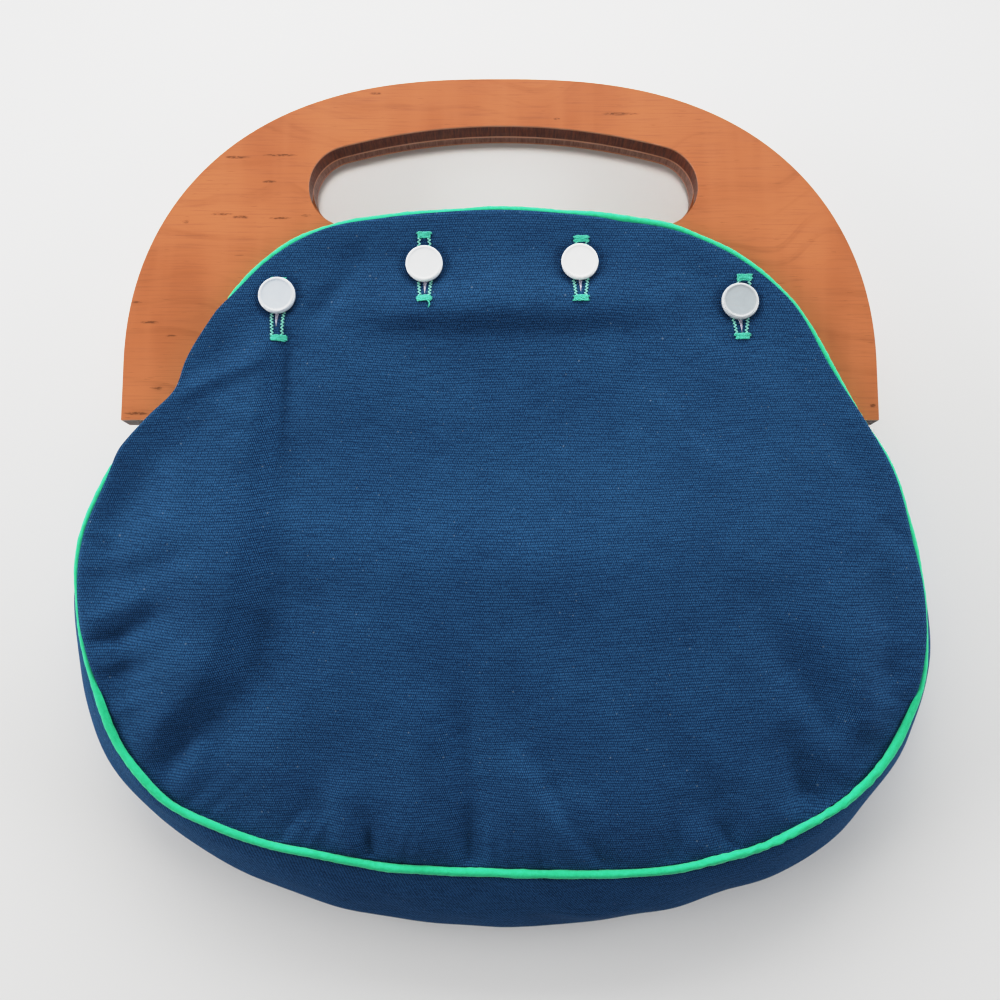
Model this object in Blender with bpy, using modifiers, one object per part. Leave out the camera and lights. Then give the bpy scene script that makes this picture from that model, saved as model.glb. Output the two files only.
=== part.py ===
"""Wooden handle bag lying on its back: two hinged wooden handles in a button-on cloth cover.

Lengths in the tables are millimetres. X runs along the hinge line, Y towards the grip,
Z up from the table. The hinge line of the front handle is the origin of the tables.
"""

import math

import bmesh
import bpy
import numpy as np
from mathutils import Vector

MM = 0.001
BAG_CENTRE = Vector((0.38, -25.58, 0.0))

# Handles: flat boards with a rounded arch outline, a grip slot and an arch between the legs.
BOARD_THICK = 9.5
BOARD_GAP = 0.5
BOARD_EDGE = 1.4
BOARD_TILT = math.radians(4.2)
HINGE_HEIGHT = 28.7
BACK_BOARD_SHIFT = 2.4
HALF_WIDTH = 130.2
SIDE_STRAIGHT = 20.0
ARC_RISE = 103.8
ARC_WIDE_POWER = 2.58
ARC_HIGH_POWER = 2.12
ARCH_HALF_WIDTH = 82.0
ARCH_RISE = 37.4
ARCH_POWER = 2.6

# Grip slot: end circles joined by an upper arc and a slightly raised lower edge.
SLOT_CENTRE_X = 1.2
SLOT_CENTRE_S = 84.0
SLOT_END_X = 53.7
SLOT_END_RADIUS = 15.0
SLOT_ARC_RADIUS = 215.5
SLOT_LOW_RISE = 3.0

# Hinges: a stepped leaf across both lower ends, with a knuckle on the outside.
HINGE_X = 106.0
HINGE_LENGTH = 23.0
HINGE_LEAF = 1.0
HINGE_KNUCKLE = 1.9
HINGE_STEP = 0.6

# Cloth cover.
CLOTH = 1.2
LIFT = 0.35
PIPING_RADIUS = 1.45
COVER_CENTRE_Y = -42.0
CROWN = 5.2
CROWN_RUN = 55.0
CROWN_POWER = 5
ARCH_SAG = 2.2
SAG_HALF_WIDTH = 70.0
SAG_RISE = 27.0
SAG_RUN = 40.0
FOLD_START_Y = 4.0
FOLD_RUN = 30.0
FOLD_RIM_POWER = 24
RIM_DROP = 0.4
BODY_END = -155.0
BACK_STEP = 28.0
BACK_EXTRA = 9.0
LAP_LIFT = 3.4
LAP_REACH = 1.5
LAP_START = 139.0
LAP_END = 172.0
LAP_EASE = 6.0
LAP_FROM = 0.82
LAP_SLOPE = 0.1
PANEL_CELLS = 26
BACK_CELLS = 16
GUSSET_START = 166.0
GUSSET_END = 374.0
GUSSET_STATIONS = 58
GUSSET_CLEAR = 0.55

# Outer edge of the piping seen from the front, and how far the gusset swells beyond it.
# angle about the cover centre (degrees from +X), radius, swell
OUTLINE = (
    (0, 142.2, 4.0),
    (15, 134.3, 1.0),
    (30, 130.6, 0.0),
    (45, 131.7, 0.0),
    (60, 127.0, 0.0),
    (75, 120.2, 0.0),
    (90, 117.8, 0.0),
    (105, 120.4, 0.0),
    (120, 127.0, 0.0),
    (135, 127.0, 0.0),
    (150, 124.3, 0.0),
    (165, 132.3, 1.0),
    (180, 144.0, 4.5),
    (195, 146.6, 8.0),
    (210, 146.6, 10.1),
    (225, 136.6, 13.9),
    (240, 122.8, 19.4),
    (255, 114.8, 21.3),
    (270, 112.2, 21.5),
    (285, 116.5, 19.4),
    (300, 126.9, 16.4),
    (315, 140.5, 14.0),
    (330, 150.7, 8.0),
    (345, 149.6, 7.2),
)

# Section of the gusset from the front piping to the back piping.
# share of the drop, share of the swell
GUSSET_SECTION = (
    (0.0, 0.0),
    (0.14, 0.36),
    (0.33, 0.68),
    (0.52, 0.90),
    (0.68, 1.0),
    (0.80, 0.90),
    (0.92, 0.50),
    (1.0, 0.0),
)

# Folds pressed into the front panel, valleys positive and ridges negative.
# start x, start y, end x, end y, half width, depth
FOLDS = (
    (-76.0, 14.0, -81.5, -20.0, 8.0, 1.6),
    (-83.0, -69.0, -92.0, -87.0, 11.0, 1.8),
    (-92.0, -87.0, -114.0, -112.0, 8.0, 1.6),
    (-108.0, -50.0, -112.0, -85.0, 14.0, -1.4),
    (-138.0, -76.0, -118.0, -70.0, 5.0, 1.6),
    (111.0, -17.0, 137.0, -49.0, 6.0, -1.6),
    (88.0, -67.0, 112.0, -101.0, 9.0, 2.0),
    (119.0, -58.0, 119.0, -91.0, 10.0, -1.0),
    (-13.0, -109.0, -13.0, -146.0, 6.0, 1.2),
    (18.0, -127.0, 30.0, -146.0, 6.0, 1.2),
    (60.0, -108.0, 78.0, -142.0, 8.0, 1.2),
    (-10.0, -50.0, 20.0, -85.0, 42.0, 1.8),
)

# Buttons on the front handle: x and distance from the lower ends.
BUTTONS = (
    (-77.1, 43.2),
    (-26.3, 54.5),
    (27.7, 55.2),
    (82.9, 41.1),
)

# Button turned about its axis: radius, distance from the wood.
BUTTON_PROFILE = (
    (0.0, 0.3),
    (1.2, 0.3),
    (1.2, 1.85),
    (5.9, 1.85),
    (6.45, 2.45),
    (6.45, 3.5),
    (5.7, 4.35),
    (4.9, 4.1),
    (0.0, 4.1),
)
BUTTON_STEPS = 20
BUTTONHOLE_WIDTH = 3.4
BUTTONHOLE_LENGTH = 19.0
BUTTONHOLE_SHIFT = -2.5
BUTTONHOLE_CUT = 8.0

# Materials: colour, roughness, metallic.
FINISHES = {
    "handle_wood": ((0.50, 0.17, 0.052), 0.28, 0.0),
    "cover_cloth": ((0.016, 0.056, 0.145), 0.85, 0.0),
    "piping_cloth": ((0.025, 0.50, 0.27), 0.75, 0.0),
    "button_pearl": ((0.74, 0.74, 0.71), 0.22, 0.0),
    "hinge_brass": ((0.62, 0.44, 0.16), 0.35, 1.0),
}


def clear_scene():
    """Remove everything that the new file starts with."""
    for obj in list(bpy.data.objects):
        bpy.data.objects.remove(obj, do_unlink=True)


def ease(value):
    """Smooth step from 0 to 1."""
    value = min(max(value, 0.0), 1.0)
    return value * value * (3.0 - 2.0 * value)


def placed(x, y, z):
    """Point of the tables in metres, about the centre of the bag."""
    return (Vector((x, y, z)) - BAG_CENTRE) * MM


def around(angle, column):
    """Smooth value of an OUTLINE column at an angle in degrees."""
    count = len(OUTLINE)
    step = 360.0 / count
    place = (angle % 360.0) / step
    first = int(place)
    t = place - first
    before, here, after, beyond = (OUTLINE[(first + k) % count][column] for k in (-1, 0, 1, 2))
    slope_here = (after - before) / 2.0
    slope_after = (beyond - here) / 2.0
    return (
        here * (2 * t ** 3 - 3 * t ** 2 + 1)
        + slope_here * (t ** 3 - 2 * t ** 2 + t)
        + after * (3 * t ** 2 - 2 * t ** 3)
        + slope_after * (t ** 3 - t ** 2)
    )


def lap(angle, start, end):
    """Share of the left stretch where the panel folds over its piping."""
    rising = ease((angle - start) / LAP_EASE)
    falling = ease((end - angle) / LAP_EASE)
    return rising * falling


def board_face(y):
    """Height of the front handle's face."""
    return HINGE_HEIGHT - y * math.tan(BOARD_TILT)


def board_back(y):
    """Height of the back handle's face."""
    return board_face(y) - (2 * BOARD_THICK + BOARD_GAP) / math.cos(BOARD_TILT)


def front_rim(y):
    """Height of the front piping's centre line."""
    lift = LIFT + PIPING_RADIUS
    return board_face(max(y, 0.0)) + lift - RIM_DROP * min(y, 0.0) / BODY_END


def back_rim(y):
    """Height of the back piping's centre line."""
    lift = LIFT + PIPING_RADIUS
    return blend(board_back(y) - lift, PIPING_RADIUS + 0.05, ease(-y / BACK_STEP))


def blend(first, second, share):
    """Value between two others."""
    return first + (second - first) * share


def fold_depth(x, y):
    """Sum of the folds at a point of the front panel."""
    total = 0.0
    for x0, y0, x1, y1, width, depth in FOLDS:
        along = Vector((x1 - x0, y1 - y0))
        share = min(max(Vector((x - x0, y - y0)).dot(along) / along.length_squared, 0.0), 1.0)
        gap = math.hypot(x - x0 - along.x * share, y - y0 - along.y * share)
        total += depth * math.exp(-((gap / width) ** 2))
    return total


def front_height(x, y, rho, angle):
    """Middle of the front panel's cloth: flat on the handle, crowned over the body."""
    height = front_rim(y) - PIPING_RADIUS + CLOTH / 2
    height += CROWN * ease(-y / CROWN_RUN) * (1.0 - rho ** CROWN_POWER)
    body_share = ease((FOLD_START_Y - y) / FOLD_RUN)
    height -= fold_depth(x, y) * body_share * (1.0 - rho ** FOLD_RIM_POWER)
    across = abs(x / SAG_HALF_WIDTH) ** ARCH_POWER
    along = (max(y, 0.0) / SAG_RISE) ** ARCH_POWER
    inside = 1.0 - (across + along) ** (1.0 / ARCH_POWER)
    height -= ARCH_SAG * ease(2.0 * inside) * ease(1.0 + y / SAG_RUN)
    height += LAP_LIFT * lap(angle, LAP_START, LAP_END) * ease((rho - LAP_FROM) / LAP_SLOPE)
    return height


def back_height(_x, y, _rho, _angle):
    """Middle of the back panel's cloth: flat on the table, rising to the back handle."""
    skin = LIFT + CLOTH / 2
    return blend(board_back(y) - skin, CLOTH / 2, ease(-y / BACK_STEP))


def front_radius(angle):
    """Distance of the front panel's edge from the cover centre."""
    beside = around(angle, 1) - 2 * PIPING_RADIUS - LIFT
    return blend(beside, around(angle, 1), lap(angle, LAP_START + LAP_EASE, LAP_END - LAP_EASE))


def back_outline(angle):
    """Outer edge of the back piping, which reaches further at the bottom."""
    south = max(0.0, -math.sin(math.radians(angle)))
    return around(angle, 1) + BACK_EXTRA * south ** 2


def back_radius(angle):
    """Distance of the back panel's edge from the cover centre."""
    return back_outline(angle) - 2 * PIPING_RADIUS - LIFT


def front_piping_radius(angle):
    """Front piping's centre line, drawn in where the panel laps over it."""
    drawn_in = LAP_REACH * lap(angle, LAP_START + LAP_EASE, LAP_END - LAP_EASE)
    return around(angle, 1) - PIPING_RADIUS - drawn_in


def back_piping_radius(angle):
    """Back piping's centre line."""
    return back_outline(angle) - PIPING_RADIUS


def on_cover(radius, angle):
    """Table coordinates of a polar point about the cover centre."""
    turn = math.radians(angle)
    return radius * math.cos(turn), COVER_CENTRE_Y + radius * math.sin(turn)


def disc_point(u, v):
    """Map a square from -1 to 1 onto a disc, as radius share and angle."""
    across = u * math.sqrt(1.0 - v * v / 2.0)
    along = v * math.sqrt(1.0 - u * u / 2.0)
    return min(math.hypot(across, along), 1.0), math.degrees(math.atan2(along, across)) % 360.0


def rim_angles(cells):
    """Angles of a panel's edge points, shared with the piping beside it."""
    steps = np.linspace(-1.0, 1.0, cells + 1)
    points = [(1.0, v) for v in steps[:-1]]
    points += [(-u, 1.0) for u in steps[:-1]]
    points += [(-1.0, -v) for v in steps[:-1]]
    points += [(u, -1.0) for u in steps[:-1]]
    return [disc_point(u, v)[1] for u, v in points]


def make_material(name):
    """Principled material with the finish of one slot."""
    colour, roughness, metallic = FINISHES[name]
    material = bpy.data.materials.new(name)
    material.use_nodes = True
    shader = material.node_tree.nodes["Principled BSDF"]
    shader.inputs["Base Color"].default_value = (*colour, 1.0)
    shader.inputs["Roughness"].default_value = roughness
    shader.inputs["Metallic"].default_value = metallic
    material.diffuse_color = (*colour, 1.0)
    return material


def add_object(name, mesh, home, material):
    """Object in the bag's collection with its material."""
    obj = bpy.data.objects.new(name, mesh)
    home.objects.link(obj)
    mesh.materials.clear()
    mesh.materials.append(material)
    return obj


def mesh_of_curve(curve_obj):
    """Mesh of a curve object with doubled points merged; the curve is removed."""
    graph = bpy.context.evaluated_depsgraph_get()
    mesh = bpy.data.meshes.new_from_object(curve_obj.evaluated_get(graph))
    cleaned = bmesh.new()
    cleaned.from_mesh(mesh)
    bmesh.ops.remove_doubles(cleaned, verts=cleaned.verts, dist=0.00001)
    bmesh.ops.recalc_face_normals(cleaned, faces=cleaned.faces)
    cleaned.to_mesh(mesh)
    cleaned.free()
    bpy.data.objects.remove(curve_obj, do_unlink=True)
    return mesh


def add_loop(curve, points):
    """Closed straight-sided loop in a curve, points in millimetres."""
    spline = curve.splines.new("POLY")
    spline.points.add(len(points) - 1)
    for point, co in zip(spline.points, points):
        point.co = (co[0] * MM, co[1] * MM, (co[2] if len(co) > 2 else 0.0) * MM, 1.0)
    spline.use_cyclic_u = True


def flat_mesh(name, loops, thick, home):
    """Plate of a flat outline with holes, centred on its own plane."""
    curve = bpy.data.curves.new(name, "CURVE")
    curve.dimensions = "2D"
    curve.fill_mode = "BOTH"
    curve.extrude = thick * MM / 2
    for loop in loops:
        add_loop(curve, loop)
    curve_obj = bpy.data.objects.new(name, curve)
    home.objects.link(curve_obj)
    return mesh_of_curve(curve_obj)


def power_arc(half_width, rise, wide_power, high_power, steps):
    """Points of a squared-off half ellipse from +X to -X."""
    points = []
    for turn in np.linspace(0.0, math.pi, steps):
        across = math.copysign(abs(math.cos(turn)) ** (2 / wide_power), math.cos(turn))
        points.append((half_width * across, rise * abs(math.sin(turn)) ** (2 / high_power)))
    return points


def board_outline():
    """Outer edge of a handle, with the arch between its legs."""
    arc = power_arc(HALF_WIDTH, ARC_RISE, ARC_WIDE_POWER, ARC_HIGH_POWER, 45)
    arch = power_arc(ARCH_HALF_WIDTH, ARCH_RISE, ARCH_POWER, ARCH_POWER, 21)
    loop = [(HALF_WIDTH, 0.0)]
    loop += [(x, SIDE_STRAIGHT + s) for x, s in arc]
    loop += [(-HALF_WIDTH, 0.0)]
    loop += [(x, s) for x, s in reversed(arch)]
    return loop


def slot_outline():
    """Edge of the grip slot."""
    centre_s = SLOT_CENTRE_S
    reach = SLOT_ARC_RADIUS - SLOT_END_RADIUS
    top_turn = math.acos(SLOT_END_X / reach)
    arc_centre = centre_s - reach * math.sin(top_turn)
    right = []
    for turn in np.linspace(-math.pi / 2, top_turn, 11):
        x = SLOT_END_X + SLOT_END_RADIUS * math.cos(turn)
        right.append((x, centre_s + SLOT_END_RADIUS * math.sin(turn)))
    upper = []
    for turn in np.linspace(top_turn, math.pi - top_turn, 11)[1:-1]:
        upper.append((SLOT_ARC_RADIUS * math.cos(turn), arc_centre + SLOT_ARC_RADIUS * math.sin(turn)))
    left = [(-x, s) for x, s in reversed(right)]
    lower = []
    for x in np.linspace(-SLOT_END_X, SLOT_END_X, 9)[1:-1]:
        low = centre_s - SLOT_END_RADIUS
        lower.append((x, low + SLOT_LOW_RISE * (1.0 - (x / SLOT_END_X) ** 2)))
    return [(x + SLOT_CENTRE_X, s) for x, s in right + upper + left + lower]


def on_board(x, s, depth):
    """Point in metres: x, distance from the lower ends and depth below the front face."""
    y = s * math.cos(BOARD_TILT) - depth * math.sin(BOARD_TILT)
    z = HINGE_HEIGHT - s * math.sin(BOARD_TILT) - depth * math.cos(BOARD_TILT)
    return placed(x, y, z)


def make_board(name, shift, depth, home, material):
    """One wooden handle with rounded edges."""
    mesh = flat_mesh(name, [board_outline(), slot_outline()], BOARD_THICK, home)
    board = add_object(name, mesh, home, material)
    board.location = on_board(0.0, shift, depth + BOARD_THICK / 2)
    board.rotation_euler = (-BOARD_TILT, 0.0, 0.0)
    weld = board.modifiers.new("weld", "WELD")
    weld.merge_threshold = 0.00005
    rounding = board.modifiers.new("rounding", "BEVEL")
    rounding.width = BOARD_EDGE * MM
    rounding.segments = 2
    rounding.limit_method = "ANGLE"
    rounding.angle_limit = math.radians(50)
    return board


def hinge_section():
    """Section of a hinge: distance from the lower ends and height below the front face."""
    middle = -BOARD_THICK - BOARD_GAP / 2
    inner = -LIFT
    outer = inner - HINGE_LEAF
    back_inner = BACK_BOARD_SHIFT + inner
    back_outer = BACK_BOARD_SHIFT + outer
    far = -2 * BOARD_THICK
    loop = [(outer, -HINGE_LEAF), (inner, -HINGE_LEAF), (inner, middle - HINGE_STEP / 3)]
    loop += [(back_inner, middle - HINGE_STEP), (back_inner, far), (back_outer, far)]
    loop += [(back_outer, middle - HINGE_KNUCKLE)]
    centre = inner - HINGE_KNUCKLE
    for turn in np.linspace(math.radians(-90), math.radians(-300), 8):
        loop.append((centre + HINGE_KNUCKLE * math.cos(turn), middle + HINGE_KNUCKLE * math.sin(turn)))
    return loop


def make_hinge(name, x, home, material):
    """Plain hinge: one stepped leaf across both lower ends with a round knuckle."""
    mesh = flat_mesh(name, [hinge_section()], HINGE_LENGTH, home)
    hinge = add_object(name, mesh, home, material)
    hinge.location = on_board(x, 0.0, 0.0)
    hinge.rotation_euler = (math.radians(90), BOARD_TILT, math.radians(90))
    return hinge


def make_panel(name, cells, radius, height, home, material):
    """Cloth panel: a square grid drawn out to the cover's outline."""
    grid = bmesh.new()
    bmesh.ops.create_grid(grid, x_segments=cells, y_segments=cells, size=1.0)
    for vert in grid.verts:
        rho, angle = disc_point(vert.co.x, vert.co.y)
        x, y = on_cover(radius(angle) * rho, angle)
        vert.co = placed(x, y, height(x, y, rho, angle))
    mesh = bpy.data.meshes.new(name)
    grid.to_mesh(mesh)
    grid.free()
    panel = add_object(name, mesh, home, material)
    panel.data.shade_smooth()
    cloth = panel.modifiers.new("cloth", "SOLIDIFY")
    cloth.thickness = CLOTH * MM
    cloth.offset = 0.0
    return panel


def cut_buttonholes(panel, shift, depth, cutters):
    """Slits for the button shanks."""
    for number, (x, s) in enumerate(BUTTONS, start=1):
        bpy.ops.mesh.primitive_cube_add(size=1.0)
        cutter = bpy.context.active_object
        cutter.name = f"{panel.name}_slit_{number}"
        cutter.scale = (BUTTONHOLE_WIDTH * MM, BUTTONHOLE_LENGTH * MM, BUTTONHOLE_CUT * MM)
        cutter.location = on_board(x, s + shift + BUTTONHOLE_SHIFT, depth)
        cutter.rotation_euler = (-BOARD_TILT, 0.0, 0.0)
        cutter.hide_render = True
        cutter.display_type = "WIRE"
        for home in list(cutter.users_collection):
            home.objects.unlink(cutter)
        cutters.objects.link(cutter)
        slit = panel.modifiers.new(f"slit_{number}", "BOOLEAN")
        slit.operation = "DIFFERENCE"
        slit.solver = "EXACT"
        slit.object = cutter


def make_piping(name, radius, height, cells, home, material):
    """Round piping sewn round a panel's edge, closed on itself."""
    curve = bpy.data.curves.new(name, "CURVE")
    curve.dimensions = "3D"
    curve.bevel_depth = PIPING_RADIUS * MM
    curve.bevel_resolution = 2
    points = []
    for angle in rim_angles(cells):
        x, y = on_cover(radius(angle), angle)
        points.append((x - BAG_CENTRE.x, y - BAG_CENTRE.y, height(y)))
    add_loop(curve, points)
    curve_obj = bpy.data.objects.new(name, curve)
    home.objects.link(curve_obj)
    piping = add_object(name, mesh_of_curve(curve_obj), home, material)
    piping.data.shade_smooth()
    return piping


def gusset_section(angle):
    """Points of the gusset's middle surface from the front piping to the back piping."""
    front = front_piping_radius(angle)
    back = back_piping_radius(angle)
    south = on_cover(front, angle)[1]
    high = front_rim(south)
    low = back_rim(south)
    swell = around(angle, 2) + PIPING_RADIUS
    points = []
    for drop, share in GUSSET_SECTION:
        line = blend(front, back, drop)
        wanted = front + swell
        points.append(Vector((blend(line, max(wanted, line), share), blend(high, low, drop))))
    clear = PIPING_RADIUS + GUSSET_CLEAR
    points[0] = points[0] + (points[1] - points[0]).normalized() * clear
    points[-1] = points[-1] + (points[-2] - points[-1]).normalized() * clear
    return points


def make_gusset(home, material):
    """Side and bottom wall of the body, between the two pipings."""
    loft = bmesh.new()
    rows = []
    for angle in np.linspace(GUSSET_START, GUSSET_END, GUSSET_STATIONS):
        row = []
        for point in gusset_section(angle):
            x, y = on_cover(point.x, angle)
            row.append(loft.verts.new(placed(x, y, point.y)))
        rows.append(row)
    for row, following in zip(rows[:-1], rows[1:]):
        for k in range(len(row) - 1):
            loft.faces.new((row[k], row[k + 1], following[k + 1], following[k]))
    bmesh.ops.recalc_face_normals(loft, faces=loft.faces)
    mesh = bpy.data.meshes.new("gusset")
    loft.to_mesh(mesh)
    loft.free()
    gusset = add_object("gusset", mesh, home, material)
    gusset.data.shade_smooth()
    cloth = gusset.modifiers.new("cloth", "SOLIDIFY")
    cloth.thickness = CLOTH * MM
    cloth.offset = 0.0
    return gusset


def make_button(name, x, s, depth, turn, home, material):
    """Flat button with a bevelled raised rim on a short shank."""
    mesh = bpy.data.meshes.new(name)
    points = [(radius * MM, 0.0, reach * MM) for radius, reach in BUTTON_PROFILE]
    edges = [(k, k + 1) for k in range(len(points) - 1)]
    mesh.from_pydata(points, edges, [])
    button = add_object(name, mesh, home, material)
    button.location = on_board(x, s, depth)
    button.rotation_euler = (turn - BOARD_TILT, 0.0, 0.0)
    lathe = button.modifiers.new("lathe", "SCREW")
    lathe.steps = BUTTON_STEPS
    lathe.render_steps = BUTTON_STEPS
    lathe.use_merge_vertices = True
    lathe.merge_threshold = 0.00005
    lathe.use_smooth_shade = False
    lathe.use_normal_flip = True
    return button


def build():
    """Make every piece of the bag."""
    clear_scene()
    home = bpy.data.collections.new("wooden_handle_bag")
    cutters = bpy.data.collections.new("cutters")
    bpy.context.scene.collection.children.link(home)
    bpy.context.scene.collection.children.link(cutters)
    finish = {name: make_material(name) for name in FINISHES}

    far = 2 * BOARD_THICK + BOARD_GAP
    make_board("handle_front", 0.0, 0.0, home, finish["handle_wood"])
    make_board("handle_back", BACK_BOARD_SHIFT, BOARD_THICK + BOARD_GAP, home, finish["handle_wood"])
    make_hinge("hinge_left", -HINGE_X, home, finish["hinge_brass"])
    make_hinge("hinge_right", HINGE_X, home, finish["hinge_brass"])

    front = make_panel("panel_front", PANEL_CELLS, front_radius, front_height, home, finish["cover_cloth"])
    cut_buttonholes(front, 0.0, 0.0, cutters)
    back = make_panel("panel_back", BACK_CELLS, back_radius, back_height, home, finish["cover_cloth"])
    cut_buttonholes(back, BACK_BOARD_SHIFT, far, cutters)
    make_piping("piping_front", front_piping_radius, front_rim, PANEL_CELLS, home, finish["piping_cloth"])
    make_piping("piping_back", back_piping_radius, back_rim, BACK_CELLS, home, finish["piping_cloth"])
    make_gusset(home, finish["cover_cloth"])

    for number, (x, s) in enumerate(BUTTONS, start=1):
        make_button(f"button_front_{number}", x, s, 0.0, 0.0, home, finish["button_pearl"])
        make_button(
            f"button_back_{number}", x, s + BACK_BOARD_SHIFT, far, math.pi, home, finish["button_pearl"]
        )


build()
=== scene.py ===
"""Looks of a wooden handle bag lying on its back: varnished handles in a buttoned-on cloth cover.

Lengths in the tables are millimetres in the bag's own axes: X along the hinge line of the
handles, Y towards the grip and Z up from the table, with the hinge line of the front handle
at Y = 0. placed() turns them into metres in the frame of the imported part.
"""

import math

import bmesh
import bpy
import numpy as np
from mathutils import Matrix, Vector


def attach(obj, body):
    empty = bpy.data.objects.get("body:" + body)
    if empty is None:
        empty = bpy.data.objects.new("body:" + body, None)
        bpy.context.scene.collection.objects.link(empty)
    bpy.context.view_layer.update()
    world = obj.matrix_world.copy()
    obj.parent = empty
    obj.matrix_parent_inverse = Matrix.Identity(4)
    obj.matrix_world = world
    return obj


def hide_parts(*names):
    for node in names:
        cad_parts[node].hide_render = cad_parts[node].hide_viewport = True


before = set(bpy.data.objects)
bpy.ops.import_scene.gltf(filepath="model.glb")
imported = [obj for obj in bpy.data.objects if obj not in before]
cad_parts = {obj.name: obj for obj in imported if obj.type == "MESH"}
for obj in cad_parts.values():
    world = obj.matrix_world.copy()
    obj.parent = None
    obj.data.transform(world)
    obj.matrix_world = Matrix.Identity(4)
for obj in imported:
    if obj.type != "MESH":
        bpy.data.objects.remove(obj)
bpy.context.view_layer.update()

MM = 0.001
BAG_CENTRE = np.array((0.38, -25.58, 0.0))

# Handles: flat boards with a rounded arch outline, a grip slot and an arch between the legs.
BOARD_THICK = 9.5
BOARD_GAP = 0.5
BOARD_EDGE = 1.4
BOARD_TILT = math.radians(4.2)
HINGE_HEIGHT = 28.7
BACK_BOARD_SHIFT = 2.4
HALF_WIDTH = 130.2
SIDE_STRAIGHT = 20.0
ARC_RISE = 103.8
ARC_WIDE_POWER = 2.58
ARC_HIGH_POWER = 2.12
ARCH_HALF_WIDTH = 82.0
ARCH_RISE = 37.4
ARCH_POWER = 2.6

# Grip slot: end circles joined by an upper arc and a slightly raised lower edge.
SLOT_CENTRE_X = 1.2
SLOT_CENTRE_S = 84.0
SLOT_END_X = 53.7
SLOT_END_RADIUS = 15.0
SLOT_ARC_RADIUS = 215.5
SLOT_LOW_RISE = 3.0

# Cloth cover.
CLOTH = 0.9
LIFT = 0.35
PIPING_RADIUS = 1.45
COVER_CENTRE_Y = -42.0
CROWN = 8.0
CROWN_RUN = 55.0
CROWN_POWER = 4
ARCH_SAG = 2.0
SAG_START = 37.0
SAG_SLOPE = 8.0
SAG_HALF_WIDTH = 22.0
SAG_SIDE = 40.0
SAG_RUN = 60.0
SLACK = 1.35
FOLD_SHARPNESS = 3
WOOD_CLEAR = 0.15
DEEPEST = 3.5
WOOD_FADE = 14.0
FOLD_RIM_POWER = 30
RIM_DROP = 0.4
BODY_END = -155.0
BACK_STEP = 28.0
BACK_EXTRA = 9.0
LAP_REACH = 1.5
LAP_HIDDEN = 1.8
LAP_SINK = 3.2
LAP_RUN = 14.0
LAP_CLEAR = 0.3
SEAM_LAP = 0.15
GUSSET_START = 166.0
GUSSET_END = 374.0
GUSSET_CLEAR = 0.3

PANEL_CELLS = 188
BACK_CELLS = 90
GUSSET_STATIONS = 560
GUSSET_ROWS = 36
PIPING_STATIONS = 1300
PIPING_SIDES = 16

# Outer edge of the piping seen from the front, how far the gusset swells beyond it, and how much
# of the piping the front panel's edge covers.
# angle about the cover centre (degrees from +X), radius, swell, covered
OUTLINE = (
    (0, 141.3, 4.7, 1.1),
    (10, 137.4, 1.8, 1.1),
    (20, 130.9, 0.5, 1.9),
    (27, 129.8, 0.1, 0.9),
    (40, 132.0, 0.0, 0.9),
    (50, 130.4, 0.0, 0.7),
    (60, 126.8, 0.0, 0.5),
    (70, 121.9, 0.0, 0.3),
    (80, 118.3, 0.0, 0.8),
    (90, 117.6, 0.0, 0.9),
    (100, 118.3, 0.0, 1.1),
    (110, 121.8, 0.0, 0.9),
    (120, 127.0, 0.0, 0.8),
    (130, 128.3, 0.0, 0.8),
    (136, 127.2, 0.0, 1.2),
    (141, 125.7, 0.0, 2.9),
    (150, 124.0, 0.0, 2.9),
    (155, 122.3, 0.2, 2.9),
    (160, 126.6, 0.5, 2.9),
    (166, 132.8, 1.1, 2.9),
    (171, 137.0, 2.1, 1.1),
    (180, 143.7, 3.6, 0.6),
    (190, 145.9, 5.6, 1.0),
    (200, 146.4, 9.3, 0.3),
    (210, 146.9, 8.7, 0.0),
    (217, 144.2, 9.3, 0.0),
    (225, 136.5, 13.1, 0.0),
    (240, 122.7, 19.0, 0.0),
    (255, 114.8, 21.0, 0.0),
    (270, 112.3, 21.8, 0.0),
    (285, 116.7, 20.4, 0.0),
    (300, 127.1, 16.2, 0.0),
    (315, 139.8, 14.4, 0.0),
    (325, 148.0, 8.6, 0.0),
    (335, 151.7, 6.3, 0.0),
    (345, 150.0, 6.3, 0.8),
    (353, 145.6, 5.4, 1.3),
)

# Section of the gusset from the front piping to the back piping.
# share of the drop, share of the swell
GUSSET_SECTION = (
    (0.0, 0.0),
    (0.14, 0.36),
    (0.33, 0.68),
    (0.52, 0.90),
    (0.68, 1.0),
    (0.80, 0.90),
    (0.92, 0.50),
    (1.0, 0.0),
)

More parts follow.
